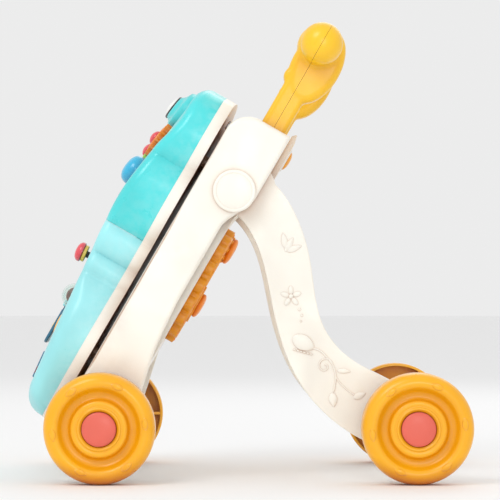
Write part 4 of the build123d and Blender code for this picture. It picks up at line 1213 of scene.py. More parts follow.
    def build_screws(self) -> None:
        """Set the screws of the covers, the handle arms and the play plate."""
        recess_floor = 3.0
        seats = [AXES.facing_rear((self.rear_lower if s < 200 else self.rear_upper) + recess_floor, s, y)
                 for y in (-92, 92) for s in (30, 95, 322)]
        seats += [AXES.facing_rear(17.0, 175.3 + s, y) for y in (-45, 45) for s in (-26, 26)]
        seats += [AXES.facing_front(self.front, s, side.value * 112.8) for side in Side for s in (80, 200, 335)]
        seats += [AXES.facing_front(self.front, self.arm_screw_s, side.value * self.arm_mid) for side in Side]
        steel = self.shop.finishes["bare_steel"]
        obj = self.shop.patterns.tree.place("frame_screw_set", self.shop.patterns.screw, seats, steel, 1.0, math.pi)
        self.shop.keep(obj, "frame", "bare_steel", "frame_screws")

    def build(self) -> None:
        """Make every piece of the frame."""
        for side in Side:
            self.build_cheek(side)
        self.build_core()
        self.build_trim()
        self.build_screws()

    def dress(self) -> None:
        """Give the metal nodes their finish."""
        self.shop.finishes.paint("bare_steel", "front_axle", "front_axle_nuts", "pivot_pins")


@dataclass
class PlayPlate:
    """The scalloped play plate on the back, with its two spinners."""

    shop: Shop
    centre: float = 175.3
    high: float = 19.0
    scallops: int = 18
    bead_ring: float = 64.9

    def build(self) -> None:
        """Make the plate, its raised rings and its spinners."""
        amber, orange = self.shop.finishes["amber_plastic"], self.shop.finishes["orange_plastic"]
        plate = softened("rear_play_plate", "play_plate_moulding", amber, 1.8, lambda p: 1.0)
        self.shop.keep(plate, "frame", "amber_plastic")
        rings = Body()
        at = AXES.facing_rear(self.high, self.centre)
        for edge, height in ((60.5, 1.6), (38.5, 1.0)):
            rings.turned(at, [(edge - 1.4, -0.6), (edge - 1.3, height * 0.5), (edge - 0.8, height * 0.9),
                              (edge, height), (edge + 0.8, height * 0.9), (edge + 1.3, height * 0.5),
                              (edge + 1.4, -0.6), (edge - 1.4, -0.6)], 96)
        obj = rings.finish("play_plate_rings", amber)
        self.shop.keep(obj, "frame", "amber_plastic")
        self.build_studs(orange)
        self.build_spinner("upper_spinner", "spinner_upper", 223.0, 15.5, 15.5)
        self.build_spinner("lower_spinner", "spinner_lower", 156.0, 21.5, 14.5)

    def build_studs(self, material: bpy.types.Material) -> None:
        """Set raised beads round the plate, one on each scallop."""
        seats = []
        for i in range(self.scallops):
            turn = 2 * math.pi * (i + 0.5) / self.scallops + math.pi / 2
            seats.append(AXES.facing_rear(self.high - 0.1, self.centre + self.bead_ring * math.sin(turn),
                                          self.bead_ring * math.cos(turn)))
        obj = self.shop.patterns.tree.place("play_plate_beads", self.shop.patterns.bead, seats, material, 1.3)
        self.shop.keep(obj, "frame", "orange_plastic")

    def build_spinner(self, node: str, rider: str, s: float, collar: float, dome: float) -> None:
        """Make a spinner: a petalled collar with a dome on it."""
        at = AXES.facing_rear(self.high + 0.3, s)
        body = Body()
        petals = 8
        outline = []
        for i in range(petals * 12):
            turn = 2 * math.pi * i / (petals * 12)
            outline.append(((collar - 1.6 + 1.6 * math.cos(petals * turn)) * math.cos(turn),
                            (collar - 1.6 + 1.6 * math.cos(petals * turn)) * math.sin(turn)))
        body.slab(outline, lambda a, b, h: at @ (Vector((a, b, h)) * MM), 0, 3.0, 0.3, 1.0)
        for face in body.bm.faces:
            face.material_index = 1
        first = len(body.bm.faces)
        curve = [(dome - 1.6, 2.6), (dome - 1.2, 3.4), (dome - 0.8, 5.4), (dome - 1.8, 7.0), (dome - 4.6, 8.3),
                 (dome * 0.4, 9.1), (0, 9.2)]
        body.turned(at, [(0, 2.6), *smooth_curve(curve, 3)], 56)
        body.bm.faces.ensure_lookup_table()
        for face in body.bm.faces[first:]:
            face.material_index = 0
        obj = body.finish(f"{node}_moulding", self.shop.finishes["orange_plastic"],
                          self.shop.finishes["amber_plastic"])
        self.shop.keep(obj, rider, "orange_plastic", node)


# ---- wheels ----
@dataclass
class Wheel:
    """A moulded wheel with a ribbed open back, a domed hub cap and raised marks on its face."""

    shop: Shop
    name: str
    side: Side
    centre: Vector
    inner: float = 154.0
    width: float = 34.0
    marks: int = 6

    FACE = ((56.5, 19), (56.4, 22.5), (55.6, 26.5), (53.6, 30.2), (50.6, 32.8), (47.0, 33.9), (44.0, 33.6),
            (41.6, 32.0), (39.8, 29.4), (37.8, 27.0), (34.5, 25.7), (31.6, 26.1), (29.8, 27.9), (28.9, 30.2),
            (27.4, 31.7), (25.2, 32.1), (23.4, 31.7), (22.4, 31.9), (21.6, 32.7), (20.4, 32.9), (19.4, 32.2),
            (18.2, 31.6), (17.8, 31.0))

    def build(self) -> None:
        """Make the wheel, its ribs, its marks and its cap."""
        rider = f"{self.name}_roller"
        at = hub_seat(self.centre, self.side, self.inner)
        yellow = self.shop.finishes["yellow_plastic"]
        body = Body()
        profile = [(4.05, 0), (4.05, 22), (10, 22), (10, 28.5), (17.8, 28.5)]
        profile += list(reversed(smooth_curve(self.FACE, 2)))
        profile += [(56.5, 2), (56.1, 0.7), (55.2, 0), (54, 0), (53.5, 0.6), (53.5, 18), (12, 18), (12, 0), (4.05, 0)]
        body.turned(at, profile, 96)
        wheel = body.finish(f"{self.name}_wheel_moulding", yellow)
        self.shop.keep(wheel, rider, "yellow_plastic", f"{self.name}_wheel")
        self.build_ribs(at, rider, yellow)
        self.build_marks(at, rider, yellow)
        self.build_cap(at, rider)

    def build_ribs(self, at: Matrix, rider: str, material: bpy.types.Material) -> None:
        """Set the ribs between the hub tube and the tread, on the back."""
        rib = Body()
        rib.slab(rounded_box(32.7, 9.2, 42.0, 17.8, 0.5, 2),
                 lambda a, b, h: Vector((a, h - 1.5, b)) * MM, 0, 3, 0.3, 0.3, 2)
        pattern = rib.finish("rib_pattern", material)
        seats = [at @ Matrix.Rotation(math.pi / 3 * i, 4, "Z") for i in range(6)]
        obj = self.shop.patterns.tree.place(f"{self.name}_wheel_ribs", pattern, seats, material)
        bpy.data.objects.remove(pattern)
        self.shop.keep(obj, rider, "yellow_plastic")

    def build_marks(self, at: Matrix, rider: str, material: bpy.types.Material) -> None:
        """Set raised leaves round the face."""
        seats = []
        for i in range(self.marks):
            turn = Matrix.Rotation(2 * math.pi * i / self.marks + 0.12, 4, "Z")
            seats.append(at @ turn @ Matrix.Translation(Vector((46.6, 0, 33.85)) * MM)
                         @ Matrix.Rotation(math.pi / 2, 4, "Z"))
        obj = self.shop.patterns.tree.place(f"{self.name}_wheel_marks", self.shop.patterns.leaf, seats, material, 1.5)
        self.shop.keep(obj, rider, "yellow_plastic")

    def build_cap(self, at: Matrix, rider: str) -> None:
        """Make the domed hub cap."""
        cap = Body()
        curve = [(17.5, 30.5), (17.5, 32.4), (17.0, 33.5), (15.6, 34.3), (12.0, 35.2), (7.0, 35.8), (0, 36.0)]
        cap.turned(at, [(0, 29.6), (8, 29.6), (8, 28.6), (17.5, 28.6), *smooth_curve(curve, 4)], 64)
        obj = cap.finish(f"{self.name}_cap_dome", self.shop.finishes["coral_plastic"])
        self.shop.keep(obj, rider, "coral_plastic", f"{self.name}_hub_cap")


# ---- rear legs ----
@dataclass
class RearLegs:
    """The folding rear legs with their crossbar, and the plant relief on their outer faces."""

    shop: Shop
    pivot: Vector
    hub: Vector
    inner: float = 109.0
    seam: float = 121.0
    outer: float = 133.0
    rounding: float = 5.0

    def place(self, side: Side) -> Place:
        """Placing of u down the leg and v to the rear, with heights across the walker."""
        run = self.hub - self.pivot
        u_dir = Vector((run.x, 0, run.z)).normalized()
        v_dir = Vector((-u_dir.z, 0, u_dir.x))
        origin = Vector((self.pivot.x, 0, self.pivot.z))
        return lambda u, v, h: origin + (u_dir * u + v_dir * v + Vector((0, side.value * h, 0))) * MM

    def build_leg(self, side: Side) -> None:
        """Round the rims of a leg's two shells, away from their seam."""
        cream = self.shop.finishes["cream_plastic"]
        for word, level in (("outer", self.outer), ("inner", self.inner)):

            def rim(p: Vector, level: float = level) -> float:
                """Whether an edge lies on the shell's free face."""
                return float(abs(abs(p.y) / MM - level) < 0.6)

            node = f"{side.word}_leg_{word}_shell"
            obj = softened(node, f"{side.word}_leg_{word}_moulding", cream, self.rounding, rim, 5)
            self.shop.keep(obj, "rear_legs", "cream_plastic")
        collar = Body()
        collar.turned(hub_seat(self.hub, side, self.outer), [(13.9, -0.5), (17.2, -0.5), (16.2, 1.2), (14.6, 3.4),
                                                              (13.9, 6.5), (13.9, -0.5)])
        obj = collar.finish(f"{side.word}_hub_fillet", cream)
        self.shop.keep(obj, "rear_legs", "cream_plastic")

    def build_relief(self, side: Side) -> None:
        """Make the raised sprigs, pods, dots and spiral on a leg's outer face."""
        body = Body()

        def place(x: float, z: float, h: float) -> Vector:
            """A point at a height over the leg's outer face."""
            return Vector((x, side.value * (self.outer + h), z)) * MM

        def oval(x: float, z: float, long: float, wide: float, tilt: float, rise: float,
                 point: float = 1.0) -> None:
            """Add a raised oval, drawn in at one end for a point above 1."""
            t = math.radians(tilt)
            loop = []
            for i in range(28):
                a = 2 * math.pi * i / 28
                along = long * math.cos(a)
                thin = wide * math.sin(a) * (1 - max(math.cos(a), 0) * (1 - 1 / point))
                loop.append((x + along * math.cos(t) - thin * math.sin(t),
                             z + along * math.sin(t) + thin * math.cos(t)))
            body.mound(loop, place, rise)

        def stem(points: Sequence[Point2], r: float) -> None:
            """Add a raised stem."""
            body.tube([place(x, z, 0) for x, z in smooth_curve(points, 6)], r, 8)

        for i in range(5):
            turn = math.radians(72 * i + 20)
            oval(42.9 + 6.4 * math.cos(turn), 190 + 6.4 * math.sin(turn), 4.6, 2.6, 72 * i + 20, 1.1)
        oval(42.9, 190, 2.6, 2.6, 0, 1.6)
        for i, tilt in enumerate((100, 60, 20)):
            oval(36 + 5 * i, 247 - 4 * i, 8.5, 3.4, tilt, 1.1, 2.2)
        for x, z, r in ((51.5, 176.5, 1.6), (54, 170.5, 1.3), (53, 164.5, 1.1)):
            oval(x, z, r, r, 0, 0.9)
        oval(55.5, 142.5, 12.5, 8.2, -28, 2.2, 1.3)
        for i in range(6):
            oval(46.5 + 3.4 * i, 135.2 - 0.9 * i, 1.5, 1.1, -28, 1.4)
        stem([(65, 137), (73, 134), (80, 127), (86, 119), (88.5, 108), (87.5, 98), (86.5, 92)], 0.95)
        coil, turn = 0.62, 0.4
        spiral = [(77.5 + (8.6 - coil * i) * math.cos(coil * i + turn),
                   118.5 + (8.6 - coil * i) * math.sin(coil * i + turn)) for i in range(13)]
        stem(spiral, 0.85)
        oval(97, 113.5, 7.2, 2.7, -4, 1.2, 2.4)
        oval(86, 84, 7.4, 4.6, -82, 1.5, 2.0)
        oval(113, 88.5, 7.0, 3.8, 20, 1.2, 2.2)
        stem([(88.5, 108), (94, 100), (103, 92), (108, 89)], 0.8)
        obj = body.finish(f"{side.word}_leg_relief", self.shop.finishes["cream_plastic"])
        self.shop.keep(obj, "rear_legs", "cream_plastic")

    def build_fittings(self) -> None:
        """Make the crossbar's collars and set the legs' screws."""
        cream = self.shop.finishes["cream_plastic"]
        body = Body()
        for side in Side:
            p = self.place(side)(220, -43, self.inner + 0.5)
            body.turned(seat(p, Vector((0, -side.value, 0)), Vector((1, 0, 0))),
                        [(8.05, -0.5), (13.5, -0.5), (13.0, 1.5), (11, 4), (10, 8), (9.4, 9), (8.05, 9), (8.05, -0.5)])
        obj = body.finish("crossbar_collars", cream)
        self.shop.keep(obj, "rear_legs", "cream_plastic")
        seats = []
        for side in Side:
            for u, v in ((45, 8), (120, -12), (170, -36), (262, -22)):
                spot = self.place(side)(u, v, self.inner)
                seats.append(seat(spot, Vector((0, -side.value, 0)), Vector((1, 0, 0))))
        steel = self.shop.finishes["bare_steel"]
        obj = self.shop.patterns.tree.place("leg_screw_set", self.shop.patterns.screw, seats, steel, 1.0, math.pi)
        self.shop.keep(obj, "rear_legs", "bare_steel", "leg_screws")

    def build(self) -> None:
        """Make every piece of the legs."""
        for side in Side:
            self.build_leg(side)
            self.build_relief(side)
        self.build_fittings()

    def dress(self) -> None:
        """Give the carried nodes their finish."""
        self.shop.finishes.paint("cream_plastic", "leg_crossbar")
        self.shop.finishes.paint("bare_steel", "rear_axle_pins", "rear_axle_nuts")


# ---- handle ----
@dataclass
class Handle:
    """The hollow handle in two shells: a grip bar with ball ends on two arms with swollen heads."""

    shop: Shop
    bar: float = 449.0
    arm_inner: float = 109.8
    arm_outer: float = 133.8
    bottom: float = 318.0
    front: float = -14.0
    rear: float = 13.5
    voxel: float = 1.5

    PROFILE = ((15.5, 0), (15.5, 60), (15.5, 88), (15.8, 96), (18.6, 103), (22.2, 109), (23.6, 116), (23.8, 122),
               (23.4, 128), (21.4, 134), (18.2, 139), (17.4, 143), (18.0, 149), (19.8, 155), (21.2, 161.5),
               (21.5, 168.5), (20.6, 175), (17.6, 181.5), (12.8, 186.4), (6.6, 189.3), (0, 190))

    def blank(self) -> bpy.types.Object:
        """Make the whole handle as one smooth solid."""
        body = Body()
        for side in Side:
            at = seat(AXES.at(0, self.bar), Vector((0, side.value, 0)), AXES.n_dir)
            body.turned(at, [(0, -2), (15.5, -2), *smooth_curve(self.PROFILE, 3)], 40)
            place = AXES.flank(side, 0)
            middle, width = (self.front + self.rear) / 2, self.rear - self.front
            arm = rounded_box(middle, (self.bottom + 430) / 2, width, 430 - self.bottom, 3)
            body.slab(dense(arm, 6), place, self.arm_inner, self.arm_outer, 4.5, 4.5)
            head = [(6 + 25.5 * math.cos(t), 430 + 42 * math.sin(t)) for t in (math.pi * i / 24 for i in range(48))]
            body.slab(head, place, self.arm_inner - 0.5, self.arm_outer + 0.5, 7, 7)
            body.slab(circle(-9, 409, 10, 24), place, self.arm_inner + 1, self.arm_outer - 1, 4, 4)
        bmesh.ops.recalc_face_normals(body.bm, faces=body.bm.faces)
        obj = body.finish("handle_blank", self.shop.finishes["handle_plastic"])
        remesh = obj.modifiers.new("joined", "REMESH")
        remesh.mode = "VOXEL"
        remesh.voxel_size = self.voxel * MM
        blend = obj.modifiers.new("blend", "SMOOTH")
        blend.factor = 0.5
        blend.iterations = 8
        bake(obj)
        return obj

    def half(self, blank: bpy.types.Object, front: bool) -> None:
        """Cut one shell from the blank, with a fine gap at the seam."""
        bm = bmesh.new()
        bm.from_mesh(blank.data)
        sign = -1 if front else 1
        bmesh.ops.bisect_plane(bm, geom=bm.verts[:] + bm.edges[:] + bm.faces[:],
                               plane_co=AXES.at(sign * 0.15, self.bar), plane_no=AXES.n_dir * -sign,
                               clear_outer=True)
        rim = [e for e in bm.edges if e.is_boundary]
        bmesh.ops.holes_fill(bm, edges=rim, sides=0)
        word = "front" if front else "rear"
        mesh = bpy.data.meshes.new(f"handle_{word}_moulding")
        bm.to_mesh(mesh)
        bm.free()
        mesh.materials.clear()
        mesh.materials.append(self.shop.finishes["handle_plastic"])
        obj = bpy.data.objects.new(mesh.name, mesh)
        bpy.context.scene.collection.objects.link(obj)
        smooth(obj, 50)
        self.shop.keep(obj, "frame", "handle_plastic", f"handle_{word}_shell")

    def build(self) -> None:
        """Make both shells."""
        blank = self.blank()
        self.half(blank, True)
        self.half(blank, False)
        bpy.data.objects.remove(blank)


# ---- play panel ----
@dataclass
class PlayPanel:
    """The lift-off panel: two lobed shells on a base, with the fixed toys' fittings."""

    shop: Shop
    seam: float = 185.9
    toe: float = -23.2
    base_front: float = -58.6
    wall: float = 2.6
    corner: float = 20.0
    screw_n: float = -49.4
    board_n: float = -67.6
    gears: tuple[Point2, ...] = ((0, 272.0), (-36.41, 286.0), (36.41, 286.0))

    CUSPS = ((118, 352), (134, 270.5), (121, 185.9), (117, 152.5), (120, 130), (116, -23.2))
    BULGES = (16, 13, 5, 3, 22)

    def front_n(self, s: float) -> float:
        """The n of the shells' front at a height, with a soft ridge and a round toe."""
        if s < 6.8:
            drop = min((6.8 - s) / 30, 1.0)
            return self.base_front - (5 + 22.5 * math.sqrt(1 - drop * drop))
        upper = -106.5 + (s - 205.4) * 20.4 / 143.5
        lower = -103.4 - (s - 186.0) * (0.0965 if s < 186 else 0.16)
        reach = 11.0
        blend = max(reach - abs(upper - lower), 0) / reach
        return max(upper, lower) + blend * blend * reach / 4

    @staticmethod
    def edge_radius(s: float) -> float:
        """Rounding of the shells' front edge at a height."""
        return 17 - 9 * smoothstep(98, 126, s) + 2.5 * smoothstep(186, 215, s)

    def rise(self, u: float, s: float) -> float:
        """Height of the hump and depth of the worn rim over the plain front."""
        d = ((abs(u) / 40) ** 2.6 + (abs(s - 327) / 26) ** 2.6) ** (1 / 2.6)
        levels = ((0.0, 16.2), (0.48, 16.0), (0.62, 11.8), (0.84, 9.4), (1.0, -1.0 if s < 327 else 0.0), (1.12, 0.0))
        height = 0.0
        for (d0, h0), (d1, h1) in zip(levels, levels[1:]):
            if d0 <= d < d1:
                height = h0 + (h1 - h0) * smoothstep(d0, d1, d)
        if 272 < s < 345:
            height -= 4 * smoothstep(86, 112, abs(u)) * math.sin(math.pi * (s - 272) / 73) ** 2
        return height

    def surface(self, u: float, s: float) -> Vector:
        """A point on the finished front."""
        return AXES.at(self.front_n(s) - self.rise(u, s), s, -u)

    def chain(self, upper: bool) -> Loop:
        """The open outline of the upper or the lower shell, counter-clockwise."""
        right = list(self.CUSPS)
        spans = list(zip(right[1:], right[:-1], self.BULGES))
        loop: Loop = []
        if upper:
            for low, high, bulge in reversed(spans[:2]):
                loop += bulged(low, high, bulge)
            loop += bulged(right[0], (-118, 352), 10)
            for low, high, bulge in spans[:2]:
                loop += bulged((-high[0], high[1]), (-low[0], low[1]), bulge)
            loop.append((-121, self.seam))
            corners = ((118, 352), (-118, 352))
        else:
            for low, high, bulge in spans[2:]:
                loop += bulged((-high[0], high[1]), (-low[0], low[1]), bulge)
            loop += dense([(-116, self.toe), (116, self.toe)], 3.0)[:77]
            for low, high, bulge in reversed(spans[2:]):
                loop += bulged(low, high, bulge)
            loop.append((121, self.seam))
            corners = ((-116, self.toe), (116, self.toe))
        gap = 0.15 if upper else -0.15
        loop[0] = (loop[0][0], self.seam + gap)
        loop[-1] = (loop[-1][0], self.seam + gap)
        for corner in corners:
            loop = rounded_corner(loop, corner, self.corner * 0.84)
        return loop

    def shell(self, upper: bool) -> None:
        """Make a shell: its side, its rounded edge and its front with every opening."""
        chain = self.chain(upper)
        body = Body()
        steps = 7
        base = [AXES.at(self.base_front, s, -u) for u, s in chain]
        rings = [base]
        radii = [min(self.edge_radius(s), self.base_front - self.front_n(s) - 0.5) for _, s in chain]
        for i in range(steps + 1):
            turn = math.pi / 2 * i / steps
            loop = inset_chain(chain, [r * (1 - math.cos(turn)) for r in radii], False)
            rings.append([AXES.at(self.front_n(s) - self.rise(u, s) + r * (1 - math.sin(turn)), s, -u)
                          for (u, s), r in zip(loop, radii)])
        body.loft(rings, caps=False, closed=False)
        inner = inset_chain(chain, radii, False)
        seam_line = dense([inner[-1], inner[0]], 4.0)
        seam_line = seam_line[1:len(seam_line) // 2]
        boundary = inner + seam_line
        holes, regions, fine = self.openings(upper)
        body.field(boundary, holes, self.surface, 5.0, regions, fine)
        finishes = self.shop.finishes
        slot = "turquoise_plastic" if upper else "aqua_plastic"
        materials = [finishes[slot], finishes["mint_plastic"]] if upper else [finishes[slot]]
        word = "upper" if upper else "lower"
        obj = body.finish(f"panel_{word}_moulding", *materials, wall=self.wall, closed=False, sharp=50)
        self.shop.keep(obj, "play_panel", slot, f"panel_{word}_shell")

    def openings(self, upper: bool) -> tuple[list[Loop], list[tuple[Loop, int]], tuple[Loop, float] | None]:
        """Openings, coloured areas and the finely meshed area of a shell's front."""
        if upper:
            holes = [circle(-72, 220, 11), circle(72, 245, 17, 40), circle(0, 225, 1.8, 10)]
            for ring, count in ((7.0, 6), (13.5, 12)):
                for i in range(count):
                    turn = 2 * math.pi * i / count
                    holes.append(circle(ring * math.cos(turn), 225 + ring * math.sin(turn), 1.8, 10))
            mint = [(-60, 249), (0, 245), (60, 249), (98, 256), (108, 268), (109, 286), (100, 300), (78, 306),
                    (56, 304), (46, 301), (30, 298.5), (0, 295.5), (-30, 298.5), (-46, 301), (-56, 304), (-78, 306),
                    (-100, 300), (-109, 286), (-108, 268), (-98, 256)]
            hump = [(46 * math.cos(t), 327 + 29.5 * math.sin(t)) for t in (math.pi * i / 30 for i in range(60))]
            return holes, [(smooth_curve(mint, 4, True), 1)], (hump, 1.9)
        holes = [circle(0, 64, 14.5, 36), rounded_box(72, 145, 8.2, 15, 3.5), rounded_box(52, 100, 39.6, 28.6, 1.5),
                 rounded_box(86, 15, 23, 9, 2)]
        holes += [rounded_box(28 * i, 20, 26, 31, 2) for i in range(-2, 3)]
        return holes, [], None

    def fittings(self) -> None:
        """Make the bezels, the gear posts, the flap's ears and the lever's ears."""
        finishes = self.shop.finishes
        trims = (("upper_bezels", "turquoise_plastic",
                  ((UPPER_FACE, -72, 220, 11.0, 2.2), (UPPER_FACE, 72, 245, 17.0, 2.8))),
                 ("lower_bezels", "aqua_plastic", ((LOWER_FACE, 0, 64, 14.5, 2.4),)))
        for name, slot, rings in trims:
            body = Body()
            for face, u, s, r, wide in rings:
                body.turned(face.frame(u, s), [(r + 0.1, -1.2), (r + 0.1, 0.9), (r + 0.5, 1.4), (r + wide * 0.5, 1.5),
                                               (r + wide, 0.8), (r + wide + 0.8, -0.3), (r + wide + 0.8, -1.2),
                                               (r + 0.1, -1.2)], 56)
            if name == "upper_bezels":
                for u, s in self.gears:
                    body.turned(UPPER_FACE.frame(u, s), [(0, -1), (3.95, -1), (3.95, 8.8), (0, 8.8)], 24)
                body.turned(UPPER_FACE.frame(0, 225), [(19.0, -1), (19.2, 0.6), (20.2, 1.1), (21.2, 0.6), (21.4, -1),
                                                       (19.0, -1)], 64)
            else:
                self.lower_trim(body)
            self.shop.keep(body.finish(name, finishes[slot]), "play_panel", slot)

    def lower_trim(self, body: Body) -> None:
        """Add the raised frames of the lower shell, and the ears of its flap and its lever."""
        def on_face(u: float, s: float, h: float) -> Vector:
            """A point at a height over the lower face."""
            return LOWER_FACE.frame(u, s, h).translation

        for u, s, wide, tall, r in ((72, 145, 14, 21, 5), (86, 15, 27, 13, 3), (52, 100, 44, 33, 4)):
            loop = rounded_box(u, s, wide, tall, r, 6)
            rings = [[on_face(a, b, h) for a, b in inset_chain(loop, [d] * len(loop), True)]
                     for d, h in ((-1.0, -0.8), (-0.8, 0.3), (0.0, 1.0), (0.9, 1.1), (1.6, 0.5), (1.8, -0.8))]
            body.loft(rings + [rings[0]], caps=False)
        for edge in (-1, 1):
            body.slab(rounded_box(-66 + edge * 23, 86, 5, 7, 1), on_face, -1, 11.5, 0.2, 1.2)
            body.slab(rounded_box(72 + edge * 9, 145, 3, 10, 0.6), on_face, -17, -2.6, 0.2, 0.2)

    def base(self) -> None:
        """Round the base's rear edge."""
        cream = self.shop.finishes["cream_plastic"]

        def at_edge(p: Vector) -> float:
            """Whether an edge lies on the base's outer rim."""
            s = (p - AXES.hub).dot(AXES.s_dir) / MM
            return float(abs(p.y) / MM > 108 or s < -15 or s > 340)

        obj = softened("panel_base", "panel_base_moulding", cream, 2.6, at_edge)
        self.shop.keep(obj, "play_panel", "cream_plastic")

    def screws(self) -> None:
        """Set the screws of the base and of the circuit board."""
        seats = [AXES.facing_rear(self.screw_n, s, -u) for u in (-104, 104) for s in (320, 225, 160, 20)]
        seats += [AXES.facing_front(self.board_n, s, -u) for u in (-70, 70) for s in (2, 197)]
        steel = self.shop.finishes["bare_steel"]
        obj = self.shop.patterns.tree.place("panel_screw_set", self.shop.patterns.screw, seats, steel, 1.0, math.pi)
        self.shop.keep(obj, "play_panel", "bare_steel", "panel_screws")

    def build(self) -> None:
        """Make every fixed piece of the panel."""
        self.shell(True)
        self.shell(False)
        self.fittings()
        self.base()
        self.screws()

    def dress(self) -> None:
        """Give the carried nodes their finish."""
        finishes = self.shop.finishes
        finishes.paint("cream_plastic", "battery_door")
        finishes.paint("board_green", "circuit_board")
        finishes.paint("black_plastic", "speaker")
        finishes.paint("battery_wrap", "batteries")
        finishes.paint("bare_steel", "flap_pin")


# ---- toys ----
@dataclass
class Toys:
    """The gears, buttons, lamp, lever, drum, flap, keys and switch on the play panel."""

    shop: Shop

    def turned_toy(self, node: str, body_name: str, slot: str, face: TiltedFace, spot: Point2,
                   profile: Sequence[Point2], finish: str = "") -> None:
        """Make a round toy from its profile and let it stand for its CAD node."""
        body = Body()
        body.turned(face.frame(*spot), profile, 56)
        obj = body.finish(f"{node}_moulding", self.shop.finishes[finish or slot])
        self.shop.keep(obj, body_name, slot, node)

    def buttons(self) -> None:
        """Make the three push buttons."""
        rows = (("blue_button", "button_blue", "blue_plastic", UPPER_FACE, (72, 245), 16.5, 15.0),
                ("red_button", "button_red", "red_plastic", UPPER_FACE, (-72, 220), 10.5, 9.5),
                ("yellow_button", "button_yellow", "yellow_plastic", LOWER_FACE, (0, 64), 14.0, 7.5))
        for node, body_name, slot, face, spot, r, rise in rows:
            neck = 3.4
            curve = [(r, neck), (r * 0.985, neck + (rise - neck) * 0.2), (r * 0.9, neck + (rise - neck) * 0.52),
                     (r * 0.72, neck + (rise - neck) * 0.78), (r * 0.42, neck + (rise - neck) * 0.95), (0, rise)]
            profile = [(0, -5.4), (r + 2.5, -5.4), (r + 2.5, -2.9), (r, -2.9), *smooth_curve(curve, 4)]
            self.turned_toy(node, body_name, slot, face, spot, profile)

    def gear_set(self) -> None:
        """Round the gears, add their raised rings and raised beads, and make their caps."""
        finishes = self.shop.finishes
        rows = (("lime_gear", "gear_lime", "lime_plastic", (0, 272.0), 21.0),
                ("green_gear", "gear_green", "green_plastic", (-36.41, 286.0), 18.0),
                ("orange_gear", "gear_orange", "orange_plastic", (36.41, 286.0), 18.0))
        caps = Body()
        for node, body_name, slot, spot, pitch in rows:
            obj = softened(node, f"{node}_moulding", finishes[slot], 0.7, lambda p: 1.0, 2)
            self.shop.keep(obj, body_name, slot)
            at = UPPER_FACE.frame(*spot, 8.5)
            rings = Body()
            edge = pitch - 4.6
            rings.turned(at, [(edge - 1.1, -0.4), (edge - 0.8, 0.6), (edge, 0.9), (edge + 0.8, 0.6),
                              (edge + 1.1, -0.4), (edge - 1.1, -0.4)], 56)
            self.shop.keep(rings.finish(f"{node}_ring", finishes[slot]), body_name, slot)
            step = Matrix.Translation(Vector((edge - 3.4, 0, -0.15)) * MM)
            seats = [at @ Matrix.Rotation(math.pi / 4 * i, 4, "Z") @ step for i in range(8)]
            beads = self.shop.patterns.tree.place(f"{node}_beads", self.shop.patterns.bead, seats, finishes[slot], 0.75)
            self.shop.keep(beads, body_name, slot)
            caps.turned(UPPER_FACE.frame(*spot, 8.8), [(0, 0), (8, 0), (8, 1.6), (7.7, 2.4), (6.9, 3.4), (5.2, 4.6),
                                                        (2.8, 5.6), (0, 6)], 40)
        self.shop.keep(caps.finish("gear_cap_domes", finishes["red_plastic"]), "play_panel", "red_plastic", "gear_caps")

    def lamp(self) -> None:
        """Make the lamp's lens and its dark rim."""
        finishes = self.shop.finishes
        lens = Body()
        lens.turned(UPPER_FACE.frame(0, 324.5, 16.0), [(0, 0), (11, 0), (11, 1.4), (10.4, 2.4), (8.4, 3.9), (5, 5.1),
                                                       (2.4, 5.4), (0, 5.5)], 56)
        self.shop.keep(lens.finish("lamp_lens_dome", finishes["white_plastic"]), "play_panel", "white_plastic",
                       "lamp_lens")
        rim = Body()
        rim.turned(UPPER_FACE.frame(0, 324.5, 15.2), [(11.1, 0), (11.1, 2.0), (11.7, 2.6), (12.8, 2.5), (13.6, 1.7),
                                                      (13.9, 0), (11.1, 0)], 64)
        self.shop.keep(rim.finish("lamp_rim", finishes["black_plastic"]), "play_panel", "black_plastic")

    def lever(self) -> None:
        """Make the lever's collar and knob; its stem is the CAD's."""
        spot = (72.0, 145.0)
        self.turned_toy("lever_collar", "lever", "white_plastic", LOWER_FACE, spot,
                        [(3.5, 5), (8.2, 5), (9, 5.6), (9, 8.2), (8.4, 8.9), (3.5, 8.9), (3.5, 5)],
                        "pale_yellow_plastic")
        self.turned_toy("lever_knob", "lever", "red_plastic", LOWER_FACE, spot,
                        [(0, 9), (9.6, 9), (10.4, 9.7), (10.5, 11.5), (9.8, 13.4), (7.8, 15.3), (5, 16.5), (2.4, 16.9),
                         (0, 17)])
        self.shop.finishes.paint("black_plastic", "lever_stem")

    def keyboard(self) -> None:
        """Soften the five keys."""
        colours = ("red_plastic", "amber_plastic", "lime_plastic", "blue_plastic", "steel_blue_plastic")
        for number, slot in enumerate(colours, 1):
            node = f"piano_key_{number}"
            obj = softened(node, f"{node}_moulding", self.shop.finishes[slot], 1.2, lambda p: 1.0)
            self.shop.keep(obj, f"key_{number}", slot)

    def flap_and_drum(self) -> None:
        """Soften the flap, add its relief, and finish the drum, its window and the switch."""
        finishes = self.shop.finishes
        flap = softened("flap_door", "flap_moulding", finishes["steel_blue_plastic"], 1.0, lambda p: 1.0)
        self.shop.keep(flap, "flap", "steel_blue_plastic")
        place = AXES.front(-103.0)
        relief = Body()
        flower, petals, reach = (-66, 57), 6, 8.2
        for i in range(petals):
            turn = 2 * math.pi * i / petals
            petal = circle(flower[0] + reach * math.cos(turn), flower[1] + reach * math.sin(turn), 4.6, 20)
            relief.mound(petal, place, 1.5)
        relief.mound(circle(*flower, 5.0, 24), place, 2.2)
        self.shop.keep(relief.finish("flap_relief", finishes["pale_yellow_plastic"]), "flap", "yellow_plastic")
        finishes.paint("red_plastic", "tumbling_drum")
        finishes.paint("mint_clear", "drum_window")
        switch = softened("power_switch", "switch_moulding", finishes["maroon_plastic"], 0.8, lambda p: 1.0)
        self.shop.keep(switch, "switch", "maroon_plastic")

